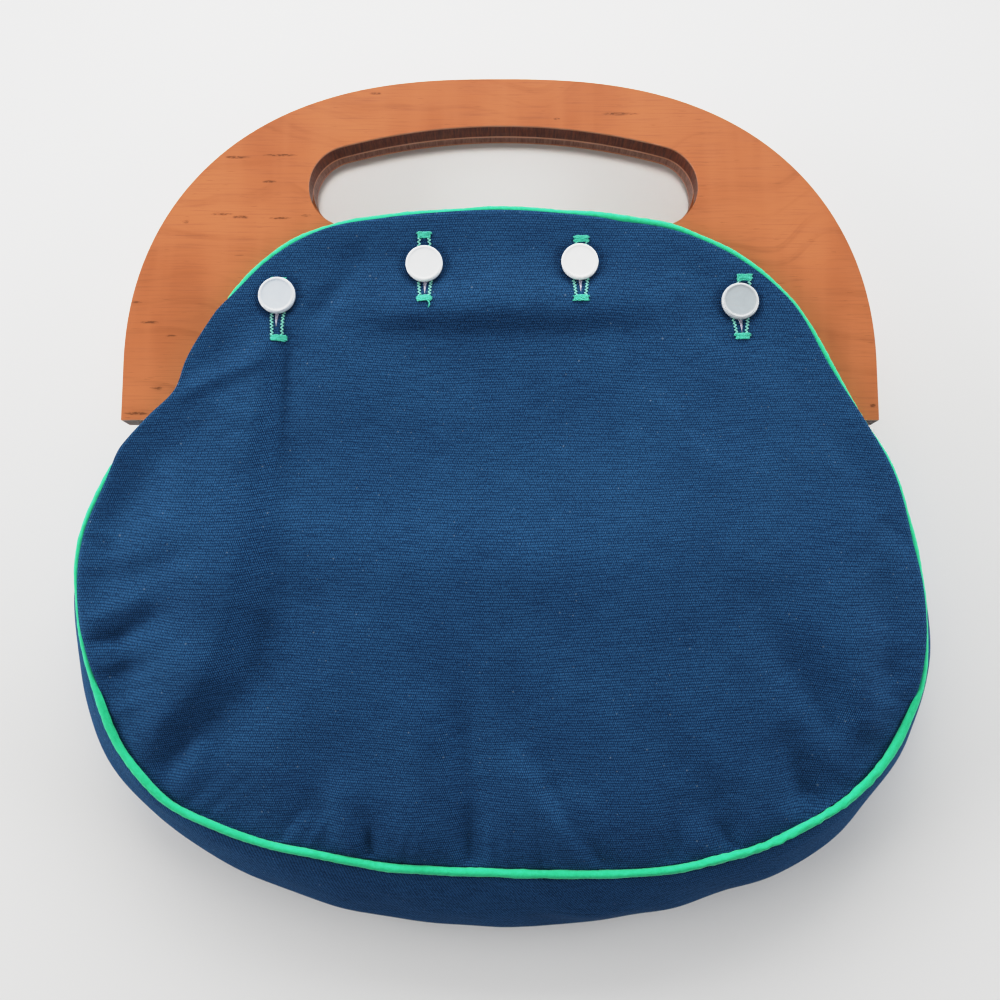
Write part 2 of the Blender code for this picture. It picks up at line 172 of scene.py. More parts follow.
# Folds of the front panel: bent lines of points, valleys with a positive depth and ridges with a
# negative one. The two widths are those on the left and on the right of the way along the fold.
# fold, x, y, left width, right width, depth
FOLDS = (
    ("lobe_swell", -100, -40, 18, 18, -1.0),
    ("lobe_swell", -107, -80, 16, 18, -2.0),
    ("wing_swell", 75, -20, 16, 26, -2.6),
    ("wing_swell", 95, -50, 16, 16, -1.4),
    ("wing_swell", 128, -95, 18, 16, -1.4),
    ("belly_hollow", -10, -50, 40, 40, 0.8),
    ("belly_hollow", 20, -85, 40, 40, 1.2),
    ("belly_swell", -30, -140, 18, 18, -1.0),
    ("belly_swell", 70, -134, 20, 22, -1.8),
    ("lobe_crest", -81, 25, 4, 8, -1.6),
    ("lobe_crest", -84, 2, 6, 14, -2.4),
    ("lobe_crest", -86, -30, 7, 16, -2.4),
    ("lobe_crest", -90, -60, 6.5, 18, -3.4),
    ("lobe_crest", -98, -86, 6.5, 16, -4.0),
    ("lobe_crest", -111, -100, 5.5, 10, -3.4),
    ("lobe_crest", -121, -111, 5, 6, -1.8),
    ("lobe_valley", -73, 24, 5, 4, 1.2),
    ("lobe_valley", -75, 0, 8, 6, 2.2),
    ("lobe_valley", -75, -30, 14, 8, 2.4),
    ("lobe_valley", -75, -60, 20, 9, 3.2),
    ("lobe_valley", -83, -85, 18, 8, 3.8),
    ("lobe_valley", -97, -102, 12, 7, 3.4),
    ("lobe_valley", -112, -116, 6, 4, 2.4),
    ("low_left_ridge", -101, -112, 5, 3, -1.8),
    ("low_left_ridge", -108, -124, 5, 4, -1.4),
    ("shoulder_crest", -99, -18, 22, 11, -0.9),
    ("shoulder_crest", -114, -38, 20, 10, -2.4),
    ("shoulder_crest", -127, -56, 12, 8, -1.5),
    ("shoulder_dip", -120, -12, 9, 12, 0.6),
    ("shoulder_dip", -133, -34, 4, 6, 1.0),
    ("flap_ridge", -110, 8, 4, 3, -1.2),
    ("flap_ridge", -97, 14, 4, 3, -1.5),
    ("flap_ridge", -84, 20, 5, 3, -1.2),
    ("flap_hollow", -98, 26, 8, 8, 1.4),
    ("flap_hollow", -111, 14, 6, 6, 0.8),
    ("button_crease", -74, 29, 3, 2.5, 0.9),
    ("button_crease", -75, 12, 3, 2.5, 1.2),
    ("button_crease", -76, -8, 4, 4, 0.8),
    ("button_crease", -78, -30, 5, 5, 0.2),
    ("button_fold", -63, 37, 5, 5, 1.2),
    ("button_fold", -57, 45, 3.5, 4, 1.6),
    ("button_fold", -49, 56, 6, 5, 1.0),
    ("wrinkle_a", -142, -41, 2.5, 3, 1.2),
    ("wrinkle_a", -133, -44, 3, 4, 0.8),
    ("wrinkle_b", -138, -56, 3.5, 3.5, 0.8),
    ("wrinkle_b", -122, -52, 4.5, 5, 1.5),
    ("wrinkle_b", -104, -46, 5, 5, 0.8),
    ("wrinkle_b_ridge", -139, -69, 3.5, 4, -1.8),
    ("wrinkle_b_ridge", -122, -62, 4, 4, -1.0),
    ("wrinkle_c", -142, -76, 2, 2.5, 1.8),
    ("wrinkle_c", -129, -74, 2.5, 3, 2.4),
    ("wrinkle_c", -115, -67, 4, 5, 1.2),
    ("wrinkle_d", -140, -86, 2, 2, 1.8),
    ("wrinkle_d", -130, -86, 2, 2.5, 2.2),
    ("wrinkle_d", -120, -83, 4, 4, 1.0),
    ("wrinkle_e", -135, -93, 3, 3, 1.6),
    ("wrinkle_e", -125, -90, 4, 4, 1.0),
    ("wing_crest", 86, 12, 10, 20, -0.8),
    ("wing_crest", 106, -12, 10, 22, -1.9),
    ("wing_crest", 124, -36, 9, 18, -2.6),
    ("wing_crest", 133, -52, 7, 12, -1.0),
    ("wing_mark", 131, -36, 3, 3, 0.9),
    ("wing_mark", 141, -44, 2.5, 3, 1.4),
    ("wing_mark_low", 132, -85, 6, 8, 2.0),
    ("wing_mark_low", 143, -82, 3, 2, 1.2),
    ("leg_step", 86, 26, 3, 3, 0.4),
    ("leg_step", 86, 6, 3, 3, 0.4),
    ("wing_ridge", 117, -60, 8, 9, -1.4),
    ("wing_ridge", 120, -75, 10, 9, -2.4),
    ("wing_ridge", 122, -100, 10, 8, -3.0),
    ("wing_hollow", 86, -64, 8, 7, 1.0),
    ("wing_hollow", 99, -84, 7, 7, 2.2),
    ("wing_hollow", 112, -101, 6, 6, 2.4),
    ("low_right_pit", 97, -110, 6, 5, 1.6),
    ("low_right_pit", 102, -126, 8, 6, 5.0),
    ("low_right_pit", 109, -132, 8, 8, 4.6),
    ("gather_1", -17, -92, 7, 8, 0.5),
    ("gather_1", -13, -106, 6, 6, 1.9),
    ("gather_1", -10, -125, 7, 6, 2.6),
    ("gather_1", -10, -150, 6, 5, 3.8),
    ("gather_1_ridge", -27, -100, 9, 9, -1.0),
    ("gather_1_ridge", -30, -128, 7, 8, -1.2),
    ("gather_1_ridge", -28, -148, 6, 7, -2.4),
    ("gather_2", 17, -124, 3.5, 4, 1.0),
    ("gather_2", 27, -140, 3.5, 4, 1.1),
    ("gather_2", 35, -150, 3, 3, 2.2),
    ("gather_2_ridge", 8, -120, 4, 4, -0.8),
    ("gather_2_ridge", 18, -136, 4, 4, -1.0),
    ("gather_2_ridge", 26, -147, 3.5, 3.5, -0.9),
    ("gather_3", 50, -104, 7, 9, 0.8),
    ("gather_3", 60, -117, 8, 10, 2.4),
    ("gather_3", 70, -130, 9, 9, 3.0),
    ("gather_3", 79, -145, 4, 5, 4.0),
    ("gather_4", 3, -88, 7, 7, 0.7),
    ("gather_4", 8, -108, 6, 7, 1.4),
    ("gather_4", 18, -122, 5, 7, 0.8),
    ("gather_5", 58, -130, 5, 5, 1.2),
    ("gather_5", 59, -149, 5, 4.5, 3.0),
    ("gather_6", -45, -135, 4, 4, 0.9),
    ("gather_6", -44, -147, 3, 2.5, 2.4),
    ("gather_6_ridge", -54, -128, 6, 5, -1.6),
    ("gather_6_ridge", -50, -147, 6, 4, -2.2),
    ("gather_7", -64, -114, 8, 9, 1.4),
    ("gather_7", -61, -130, 8, 7, 2.2),
    ("arch_ridge", -40, 38, 6, 5, -0.9),
    ("arch_ridge", 0, 40, 11, 6, -2.9),
    ("arch_ridge", 30, 40, 9, 6, -1.6),
    ("arch_ridge", 58, 41, 7, 6, -1.0),
)

# Buttons on the front handle.
# x, distance from the lower ends, pearl colour (its brightness paints the reflection each button shows; the
# buttons are alike)
BUTTONS = (
    (-77.1, 43.2, (0.57, 0.62, 0.68)),
    (-26.3, 54.5, (0.86, 0.88, 0.89)),
    (27.7, 55.2, (0.96, 0.97, 0.96)),
    (82.9, 41.1, (0.42, 0.455, 0.475)),
)

# Buttonholes, each from its button's centre: the satin bars at both ends, the rows of zigzag
# stitches between them where they stand widest, and the sewing shank seen in the open slit.
# top bar x, top bar y, bottom bar x, bottom bar y, left row, right row, shank x, shank tip x
BUTTONHOLES = (
    (0.4, 5.5, 0.9, -14.7, 2.2, 2.6, -0.2, -0.1),
    (-0.1, 10.4, 0.2, -12.2, 2.5, 2.9, 0.3, 0.3),
    (0.6, 8.5, 0.3, -12.9, 2.7, 3.6, 0.3, 0.2),
    (1.6, 8.5, 0.7, -12.0, 3.1, 3.8, 0.2, 0.5),
)
BAR_HALF_LENGTH = 2.45
BAR_STRANDS = 7
BAR_STRAND_GAP = 0.30
BAR_THREAD = 0.25
ROW_OFFSET = 1.6
ROW_SWING = 0.70
ROW_PITCH = 1.2
ROW_THREAD = 0.22
THREAD_SIDES = 6
SHANK_START = -5.0
SHANK_TIP = -10.7
SHANK_HALF_WIDTH = 0.8

# Loose thread end below the second buttonhole, from its button's centre: x, y.
TAIL = ((0.2, -12.3), (1.0, -12.9), (1.8, -13.6), (2.1, -14.3), (1.9, -15.0), (1.6, -15.7))
TAIL_BUTTON = 2

# Dark mineral streaks in the wood: x, distance from the lower ends, half length.
FLECKS = (
    (-92.9, 94.3, 4.4),
    (-78.0, 95.0, 5.8),
    (-81.3, 85.4, 2.3),
    (-97.6, 74.0, 3.7),
    (-91.2, 72.9, 2.6),
    (-77.1, 72.5, 3.7),
    (-68.0, 73.3, 1.9),
    (-110.5, 71.1, 1.2),
    (-121.5, 34.6, 3.1),
    (-113.9, 29.6, 1.9),
    (-118.2, 11.2, 2.4),
    (-125.1, 2.1, 4.1),
    (-126.5, 41.8, 1.9),
    (-44.4, 118.2, 2.0),
    (42.9, 110.8, 6.2),
    (20.1, 109.2, 1.2),
    (128.3, 5.6, 1.0),
)
FLECK_HALF_WIDTH = 0.45

# Button turned about its axis: radius, distance from the wood.
BUTTON_PROFILE = (
    (0.0, 0.3),
    (1.2, 0.3),
    (1.2, 1.85),
    (5.7, 1.85),
    (6.15, 2.05),
    (6.38, 2.45),
    (6.45, 2.95),
    (6.45, 3.45),
    (6.36, 3.85),
    (6.15, 4.15),
    (5.85, 4.25),
    (5.62, 4.26),
    (5.46, 4.20),
    (5.28, 4.12),
    (5.05, 4.07),
    (4.5, 4.04),
    (2.5, 4.0),
    (0.0, 3.98),
)
BUTTON_STEPS = 72
BUTTON_RADIUS = 6.45
DIMPLE_RADIUS = 10.0
FLAT_RADIUS = 13.0

# Camera: straight above the body of the bag, leaning slightly towards the grip.
CAMERA_PLACE = (0.0, -46.90, 411.49)
CAMERA_LEAN = math.radians(2.9)
CAMERA_FOCAL = 40.32
CAMERA_SENSOR = 36.0

# Soft windows round the table.
# name, direction (degrees from +X), elevation, width in metres, power, colour
LIGHT_DISTANCE = 1.4
ABOVE_PLACE = (-0.03, 0.17, 1.20)
ABOVE_POWER = 0.215
ABOVE_SPREAD = math.radians(26)
LIGHTS = (
    ("window", 90, 20, 1.5, 25.0, (1.0, 0.99, 0.97)),
    ("window_left", 140, 20, 0.9, 5.5, (1.0, 0.99, 0.98)),
    ("window_right", 40, 20, 0.9, 3.5, (0.99, 0.99, 1.0)),
    ("side_left", 180, 20, 1.0, 15.0, (1.0, 0.99, 0.98)),
    ("side_right", 0, 20, 1.0, 12.0, (0.98, 0.99, 1.0)),
    ("far_left", 230, 20, 1.0, 2.5, (0.99, 0.99, 1.0)),
)

# Tone curve of the picture: light, shown value.
TONE_WHITE = 2.0
TONE = (
    (0.0, 0.0),
    (0.03, 0.022),
    (0.10, 0.094),
    (0.25, 0.26),
    (0.45, 0.50),
    (0.60, 0.66),
    (0.80, 0.77),
    (1.00, 0.82),
    (1.30, 0.855),
    (2.00, 0.90),
)


def ease(value):
    """Smooth step from 0 to 1."""
    value = np.clip(value, 0.0, 1.0)
    return value * value * (3.0 - 2.0 * value)


def blend(first, second, share):
    """Value between two others."""
    return first + (second - first) * share


def placed(points):
    """Points of the tables in metres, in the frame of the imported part."""
    return (np.asarray(points, float) - BAG_CENTRE) * MM


def around(angle, column):
    """Smooth value of an OUTLINE column at angles in degrees."""
    table = np.array(OUTLINE)
    knots = np.concatenate([table[-2:, 0] - 360.0, table[:, 0], table[:2, 0] + 360.0])
    values = np.concatenate([table[-2:, column], table[:, column], table[:2, column]])
    slopes = np.gradient(values, knots)
    place = np.asarray(angle, float) % 360.0
    here = np.searchsorted(knots, place, side="right") - 1
    span = knots[here + 1] - knots[here]
    t = (place - knots[here]) / span
    return (
        values[here] * (2 * t**3 - 3 * t**2 + 1)
        + slopes[here] * span * (t**3 - 2 * t**2 + t)
        + values[here + 1] * (3 * t**2 - 2 * t**3)
        + slopes[here + 1] * span * (t**3 - t**2)
    )


def covered(angle):
    """Width of the front piping that the panel's edge covers."""
    return np.clip(around(angle, 3), 0.0, 2.0 * PIPING_RADIUS)


def tucked(angle):
    """Share by which the piping is drawn in and out of sight."""
    return ease((covered(angle) - LAP_HIDDEN) / (2.0 * PIPING_RADIUS - LAP_HIDDEN))


def board_face(y):
    """Height of the front handle's face."""
    return HINGE_HEIGHT - y * math.tan(BOARD_TILT)


def board_back(y):
    """Height of the back handle's face."""
    return board_face(y) - (2 * BOARD_THICK + BOARD_GAP) / math.cos(BOARD_TILT)


def front_rim(y):
    """Height of the front piping's centre line."""
    sunk = RIM_DROP * np.minimum(y, 0.0) / BODY_END
    return board_face(np.maximum(y, 0.0)) + LIFT + PIPING_RADIUS - sunk


def back_rim(y):
    """Height of the back piping's centre line."""
    raised = board_back(y) - (LIFT + PIPING_RADIUS)
    return blend(raised, PIPING_RADIUS + 0.45, ease(-y / BACK_STEP))


def front_radius(angle):
    """Distance of the front panel's edge from the cover centre."""
    return around(angle, 1) - 2.0 * PIPING_RADIUS + covered(angle) + SEAM_LAP


def back_outline(angle):
    """Outer edge of the back piping, which reaches further at the bottom."""
    south = np.maximum(0.0, -np.sin(np.radians(angle)))
    return around(angle, 1) + BACK_EXTRA * south**2


def back_radius(angle):
    """Distance of the back panel's edge from the cover centre."""
    return back_outline(angle) - 2 * PIPING_RADIUS - LIFT + 0.3


def front_piping_radius(angle):
    """Front piping's centre line, drawn in where the panel laps over it."""
    return around(angle, 1) - PIPING_RADIUS - LAP_REACH * tucked(angle)


def back_piping_radius(angle):
    """Back piping's centre line."""
    return back_outline(angle) - PIPING_RADIUS


def front_piping_height(angle, y):
    """Front piping's centre line, sunk where it is out of sight beside the handle."""
    return front_rim(y) - LAP_SINK * tucked(angle) * ease(-y / 5.0)


def back_piping_height(angle, y):
    """Back piping's centre line."""
    return back_rim(y) + 0.0 * angle


def on_cover(radius, angle):
    """Table coordinates of polar points about the cover centre."""
    turn = np.radians(angle)
    return radius * np.cos(turn), COVER_CENTRE_Y + radius * np.sin(turn)


def ripples(x, y, wave, seed, count=26):
    """Smooth random relief of about one unit, made of plane waves near one length."""
    random = np.random.default_rng(seed)
    total = np.zeros(np.broadcast(x, y).shape)
    for _ in range(count):
        turn = random.uniform(0.0, 2.0 * math.pi)
        reach = 2.0 * math.pi / (wave * random.uniform(0.7, 1.5))
        phase = random.uniform(0.0, 2.0 * math.pi)
        total += np.sin((x * math.cos(turn) + y * math.sin(turn)) * reach + phase)
    return total / math.sqrt(count / 2)


def fold_lines():
    """Points of each fold by its name."""
    lines = {}
    for name, *point in FOLDS:
        lines.setdefault(name, []).append(point)
    return lines


def fold_depth(x, y):
    """Sum of the folds at points of the front panel."""
    total = np.zeros(np.broadcast(x, y).shape)
    for points in fold_lines().values():
        weighted = np.zeros(total.shape)
        weights = np.full(total.shape, 1e-12)
        for start, end in zip(points[:-1], points[1:]):
            x0, y0, *first = start
            x1, y1, *last = end
            along = np.array((x1 - x0, y1 - y0))
            share = ((x - x0) * along[0] + (y - y0) * along[1]) / along.dot(along)
            share = np.clip(share, 0.0, 1.0)
            over = x - x0 - along[0] * share
            up = y - y0 - along[1] * share
            side = (along[0] * up - along[1] * over) / np.linalg.norm(along)
            left, right, depth = (blend(a, b, share) for a, b in zip(first, last))
            width = blend(right, left, ease(0.5 + 0.25 * side))
            part = depth * np.exp(-(over**2 + up**2) / width**2)
            weight = np.abs(part) ** FOLD_SHARPNESS
            weighted += part * weight
            weights += weight
        total += weighted / weights
    return total


def button_dip(x, y):
    """Share by which the cloth is pulled down round the buttons."""
    dip = np.zeros(np.broadcast(x, y).shape)
    for button_x, button_s, _ in BUTTONS:
        gap = np.hypot(x - button_x, y - button_s * math.cos(BOARD_TILT))
        dip = np.maximum(dip, 1.0 - ease((gap - BUTTON_RADIUS + 1.0) / (DIMPLE_RADIUS - BUTTON_RADIUS)))
    return dip


def away_from_buttons(x, y):
    """Share of the folds that is left beside the buttons."""
    share = np.ones(np.broadcast(x, y).shape)
    for button_x, button_s, _ in BUTTONS:
        gap = np.hypot(x - button_x, y - button_s * math.cos(BOARD_TILT))
        share *= ease((gap - BUTTON_RADIUS + 0.45) / (FLAT_RADIUS - BUTTON_RADIUS + 0.45))
    return share


def arch_gap(x, y):
    """Rough distance inside the edge of the arch between the legs, negative over the wood."""
    across = np.abs(x) / ARCH_HALF_WIDTH
    along = np.maximum(y, 0.0) / ARCH_RISE
    reach = (across**ARCH_POWER + along**ARCH_POWER) ** (1.0 / ARCH_POWER)
    return (1.0 - reach) * ARCH_RISE


def soft_floor(value, lowest, softness):
    """Value kept above a floor that it meets smoothly."""
    over = value - lowest
    return lowest + 0.5 * (over + np.sqrt(over**2 + softness**2))


def front_relief(x, y, rho, angle):
    """Height of the front panel above the line from seam to seam."""
    rim = 1.0 - rho**FOLD_RIM_POWER
    inner = ease((1.0 - rho) / 0.12)
    body = ease(-y / CROWN_RUN)
    relief = CROWN * body * (1.0 - rho**CROWN_POWER)
    flap = 1.0 - ease((-y - 4.0) / 30.0)
    relief += SLACK * inner * flap * (1.0 - button_dip(x, y))
    beside = 1.0 - ease((np.abs(x) - SAG_HALF_WIDTH) / SAG_SIDE)
    relief -= ARCH_SAG * ease((SAG_START - y) / SAG_SLOPE) * beside * ease(1.0 + y / SAG_RUN)
    relief -= fold_depth(x, y) * rim * away_from_buttons(x, y)
    relief += 0.15 * ripples(x, y, 36.0, 11) * rim
    relief += 0.05 * ripples(x, y, 14.0, 17) * rim
    relief += rim_gathers(rho, angle)
    wood = ease((y + WOOD_FADE) / WOOD_FADE) * ease((2.0 - arch_gap(x, y)) / 3.0)
    relief = soft_floor(relief, WOOD_CLEAR - LIFT - DEEPEST * (1.0 - wood), 0.25)
    return relief + cord_lift(rho, angle)


def cord_lift(rho, angle):
    """Rise of the panel's edge where it rides on its piping."""
    cover = covered(angle)
    inward = np.maximum(PIPING_RADIUS - cover, 0.0)
    top = PIPING_RADIUS + np.sqrt(PIPING_RADIUS**2 - inward**2) + LAP_CLEAR * tucked(angle)
    top = top * ease(cover / 0.5)
    return top * ease(1.0 - (1.0 - rho) * front_radius(angle) / (LAP_RUN + cover))


def rim_gathers(rho, angle):
    """Small puckers where the panel is eased onto its piping along the bottom."""
    bottom = ease((angle - 186.0) / 20.0) * ease((352.0 - angle) / 16.0)
    travel = angle * 2.25
    pucker = ripples(travel, 9.0 * rho, 10.0, 23) + 0.6 * ripples(travel, 0.0 * rho, 5.0, 29)
    near = ease((rho - 0.80) / 0.17) * ease((1.0 - rho) / 0.012)
    return 0.20 * pucker * bottom * near


def front_height(x, y, rho, angle):
    """Middle of the front panel's cloth: on the handle, then crowned over the body."""
    base = front_rim(y) - PIPING_RADIUS + CLOTH / 2
    return base + front_relief(x, y, rho, angle)


def back_height(x, y, rho, angle):
    """Middle of the back panel's cloth: flat on the table, rising to the back handle."""
    skin = LIFT + CLOTH / 2 + 0.15
    rise = ease(-y / BACK_STEP)
    hollow = 0.25 * np.maximum(1.0 + ripples(x, y, 40.0, 31), 0.0) * (1.0 - rho**20) * rise
    return blend(board_back(y) - skin, CLOTH / 2 + 0.05, rise) + hollow


def front_surface(x, y):
    """Middle of the front panel's cloth at table points."""
    angle = np.degrees(np.arctan2(y - COVER_CENTRE_Y, x)) % 360.0
    rho = np.hypot(x, y - COVER_CENTRE_Y) / front_radius(angle)
    return front_height(x, y, np.minimum(rho, 1.0), angle)


def back_surface(x, y):
    """Middle of the back panel's cloth at table points."""
    angle = np.degrees(np.arctan2(y - COVER_CENTRE_Y, x)) % 360.0
    rho = np.hypot(x, y - COVER_CENTRE_Y) / back_radius(angle)
    return back_height(x, y, np.minimum(rho, 1.0), angle)


def disc_grid(cells):
    """Square grid drawn out to a disc: radius share and angle of its points."""
    steps = np.linspace(-1.0, 1.0, cells + 1)
    u, v = np.meshgrid(steps, steps, indexing="ij")
    across = u * np.sqrt(1.0 - v * v / 2.0)
    along = v * np.sqrt(1.0 - u * u / 2.0)
    rho = np.minimum(np.hypot(across, along), 1.0)
    return rho, np.degrees(np.arctan2(along, across)) % 360.0


def grid_mesh(name, points, close_rows=False, close_columns=False, cloth=None):
    """Quad mesh over a grid of table points, with cloth coordinates in millimetres."""
    rows, columns = points.shape[:2]
    index = np.arange(rows * columns).reshape(rows, columns)
    row = np.arange(rows if close_rows else rows - 1)
    column = np.arange(columns if close_columns else columns - 1)
    a, b = np.meshgrid(row, column, indexing="ij")
    after_a, after_b = (a + 1) % rows, (b + 1) % columns
    corners = (index[a, b], index[after_a, b], index[after_a, after_b], index[a, after_b])
    faces = np.stack([c.ravel() for c in corners], axis=1)
    mesh = bpy.data.meshes.new(name)
    mesh.from_pydata(placed(points.reshape(-1, 3)).tolist(), [], faces.tolist())
    if cloth is not None:
        attribute = mesh.attributes.new("cloth", "FLOAT_VECTOR", "POINT")
        attribute.data.foreach_set("vector", cloth.reshape(-1).astype(np.float32))
    mesh.shade_smooth()
    return mesh


def add_piece(name, mesh, material, stands_for):
    """A piece of the bag that rides on its body and stands for the nodes that are named."""
    piece = bpy.data.objects.new(name, mesh)
    bpy.context.scene.collection.objects.link(piece)
    mesh.materials.clear()
    mesh.materials.append(material)
    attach(piece, "root")
    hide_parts(*stands_for)
    return piece


def bake_modifiers(piece):
    """Make the evaluated mesh the piece's own."""
    graph = bpy.context.evaluated_depsgraph_get()
    mesh = bpy.data.meshes.new_from_object(piece.evaluated_get(graph))
    piece.modifiers.clear()
    piece.data = mesh


def thicken(piece, thickness):
    """Give a cloth piece its thickness, half on each side."""
    cloth = piece.modifiers.new("cloth", "SOLIDIFY")
    cloth.thickness = thickness * MM
    cloth.offset = 0.0
    bake_modifiers(piece)


# ---- materials


class Graph:
    """Short calls that build one material's nodes."""

    def __init__(self, name):
        self.material = bpy.data.materials.new(name)
        self.material.use_nodes = True
        self.tree = self.material.node_tree
        self.shader = self.tree.nodes["Principled BSDF"]

    def put(self, socket, value):
        """Link a socket or set its own value."""
        if isinstance(value, bpy.types.NodeSocket):
            self.tree.links.new(value, socket)
        elif isinstance(value, tuple) and len(value) == 3 and socket.type == "RGBA":
            socket.default_value = (*value, 1.0)
        else:
            socket.default_value = value

    def add(self, kind, settings=None, **inputs):
        """New node with its settings and inputs."""
        node = self.tree.nodes.new(kind)
        for key, value in (settings or {}).items():
            setattr(node, key, value)
        for key, value in inputs.items():
            self.put(node.inputs[key.replace("_", " ")], value)
        return node

    def finish(self, **inputs):
        """Set the shader's inputs."""
        for key, value in inputs.items():
            self.put(self.shader.inputs[key.replace("_", " ")], value)
        return self.material

    def math(self, operation, first, second=0.0, third=0.0):
        """Result of one sum."""
        node = self.tree.nodes.new("ShaderNodeMath")
        node.operation = operation
        for socket, value in zip(node.inputs, (first, second, third)):
            self.put(socket, value)
        return node.outputs[0]

    def mix(self, share, first, second):
        """Colour between two."""
        node = self.tree.nodes.new("ShaderNodeMix")
        node.data_type = "RGBA"
        self.put(node.inputs["Factor"], share)
        self.put(node.inputs[6], first)
        self.put(node.inputs[7], second)
        return node.outputs[2]

    def range(self, value, low, high, to_low=0.0, to_high=1.0):
        """Value carried from one range to another, smooth and held at the ends."""
        node = self.tree.nodes.new("ShaderNodeMapRange")
        node.interpolation_type = "SMOOTHSTEP"
        for socket, number in zip(node.inputs, (value, low, high, to_low, to_high)):
            self.put(socket, number)
        return node.outputs[0]

    def noise(self, vector, scale, detail=2.0, roughness=0.5, distortion=0.0):
        """Noise texture's value."""
        node = self.add(
            "ShaderNodeTexNoise",
            Vector=vector,
            Scale=scale,
            Detail=detail,
            Roughness=roughness,
            Distortion=distortion,
        )
        return node.outputs[0]

    def stretch(self, vector, scale, turn=0.0):
        """Vector scaled by axis after a turn about Z."""
        node = self.add("ShaderNodeMapping", Vector=vector, Scale=scale, Rotation=(0.0, 0.0, turn))
        return node.outputs[0]

    def split(self, vector):
        """The three parts of a vector."""
        return self.add("ShaderNodeSeparateXYZ", Vector=vector).outputs

    def bump(self, height, strength, distance, normal=None):
        """Normal disturbed by a height, distances in millimetres."""
        node = self.add("ShaderNodeBump", Height=height, Strength=strength, Distance=distance * MM)
        if normal is not None:
            self.put(node.inputs["Normal"], normal)
        return node.outputs[0]


def weave(graph, place, rib, dash, turn=0.0):
    """Height of a ribbed plain weave: rows of short dashes, each row shifted by half a dash."""
    place = graph.stretch(place, (1.0, 1.0, 1.0), turn)
    wander = graph.noise(place, 0.05, 1.0)
    x, y, _ = graph.split(place)
    y = graph.math("MULTIPLY_ADD", wander, 0.8, y)
    row = graph.math("DIVIDE", y, rib)
    index = graph.math("FLOOR", row)
    odd = graph.math("MULTIPLY", graph.math("MODULO", graph.math("ABSOLUTE", index), 2.0), 0.5)
    along = graph.math("ADD", graph.math("DIVIDE", x, dash), odd)
    rib_part = graph.math("SINE", graph.math("MULTIPLY", graph.math("FRACT", row), math.pi))
    dash_part = graph.math("SINE", graph.math("MULTIPLY", graph.math("FRACT", along), math.pi))
    rib_part = graph.math("POWER", rib_part, 0.6)
    uneven = graph.noise(graph.stretch(place, (1.6, 1.2, 1.0)), 1.0, 2.0, 0.7)
    dash_share = graph.math("MULTIPLY_ADD", dash_part, 0.75, graph.range(uneven, 0.3, 0.7, 0.0, 0.45))
    rib_share = graph.math("MULTIPLY_ADD", rib_part, 0.65, 0.35)
    return graph.math("MULTIPLY", rib_share, dash_share)


def cloth_material(name, turn):
    """Navy ribbed cotton: pale yarn dashes over a dark ground, with lint and slubs."""
    graph = Graph(name)
    place = graph.add("ShaderNodeAttribute", {"attribute_name": "cloth"}).outputs["Vector"]
    height = weave(graph, place, 0.88, 0.60, turn)
    slub = graph.noise(graph.stretch(place, (0.12, 1.1, 1.0), turn), 1.0, 3.0, 0.6)
    fade = graph.noise(place, 0.03, 3.0, 0.55)
    yarn = graph.math("MULTIPLY", height, graph.range(slub, 0.25, 0.75, 0.82, 1.18))
    dark = graph.mix(graph.range(fade, 0.3, 0.7), (0.0062, 0.0250, 0.064), (0.0074, 0.0285, 0.071))
    light = graph.mix(graph.range(fade, 0.3, 0.7), (0.0285, 0.1010, 0.2280), (0.0325, 0.1130, 0.2500))
    colour = graph.mix(graph.range(yarn, 0.30, 0.95), dark, light)
    lint = graph.noise(place, 0.9, 0.0)
    speck = graph.range(lint, 0.825, 0.86)
    colour = graph.mix(graph.math("MULTIPLY", speck, 0.22), colour, (0.40, 0.46, 0.52))
    normal = graph.bump(yarn, 0.5, 0.18)
    return graph.finish(
        Base_Color=colour,
        Roughness=graph.range(yarn, 0.0, 1.0, 0.95, 0.78),
        Sheen_Weight=0.04,
        Sheen_Roughness=0.5,
        Sheen_Tint=(0.4, 0.65, 1.0),
        Specular_IOR_Level=0.08,
        Normal=normal,
    )


def piping_material():
    """Bright green cotton cord cover, speckled, with painted shade darkening the hollows of its weave."""
    graph = Graph("piping_green")
    place = graph.add("ShaderNodeAttribute", {"attribute_name": "cloth"}).outputs["Vector"]
    height = weave(graph, place, 0.42, 0.46, math.radians(45))
    mottle = graph.noise(place, 0.55, 3.0, 0.7)
    fade = graph.noise(place, 0.05, 2.0)
    ground = graph.mix(graph.range(fade, 0.3, 0.7), (0.018, 0.52, 0.235), (0.028, 0.60, 0.285))
    colour = graph.mix(graph.range(mottle, 0.3, 0.75, 0.0, 0.7), ground, (0.055, 0.70, 0.36))
    # Painted shade: darker green in the low parts of the weave.
    colour = graph.mix(graph.range(height, 0.1, 0.8, 0.35, 0.0), colour, (0.008, 0.32, 0.15))
    normal = graph.bump(graph.math("ADD", height, mottle), 0.45, 0.12)
    return graph.finish(
        Base_Color=colour,
        Roughness=0.8,
        Sheen_Weight=0.3,
        Sheen_Roughness=0.4,
        Sheen_Tint=(0.75, 1.0, 0.8),
        Specular_IOR_Level=0.3,
        Normal=normal,
    )


def thread_material(name, dark, light):
    """Sewing thread with a silky twist."""
    graph = Graph(name)
    place = graph.add("ShaderNodeTexCoord").outputs["Object"]
    ply = graph.noise(place, 2600.0, 2.0, 0.6)
    return graph.finish(
        Base_Color=graph.mix(graph.range(ply, 0.3, 0.7), dark, light),
        Roughness=graph.range(ply, 0.3, 0.7, 0.42, 0.6),
        Sheen_Weight=0.2,
        Normal=graph.bump(ply, 0.4, 0.06),
    )


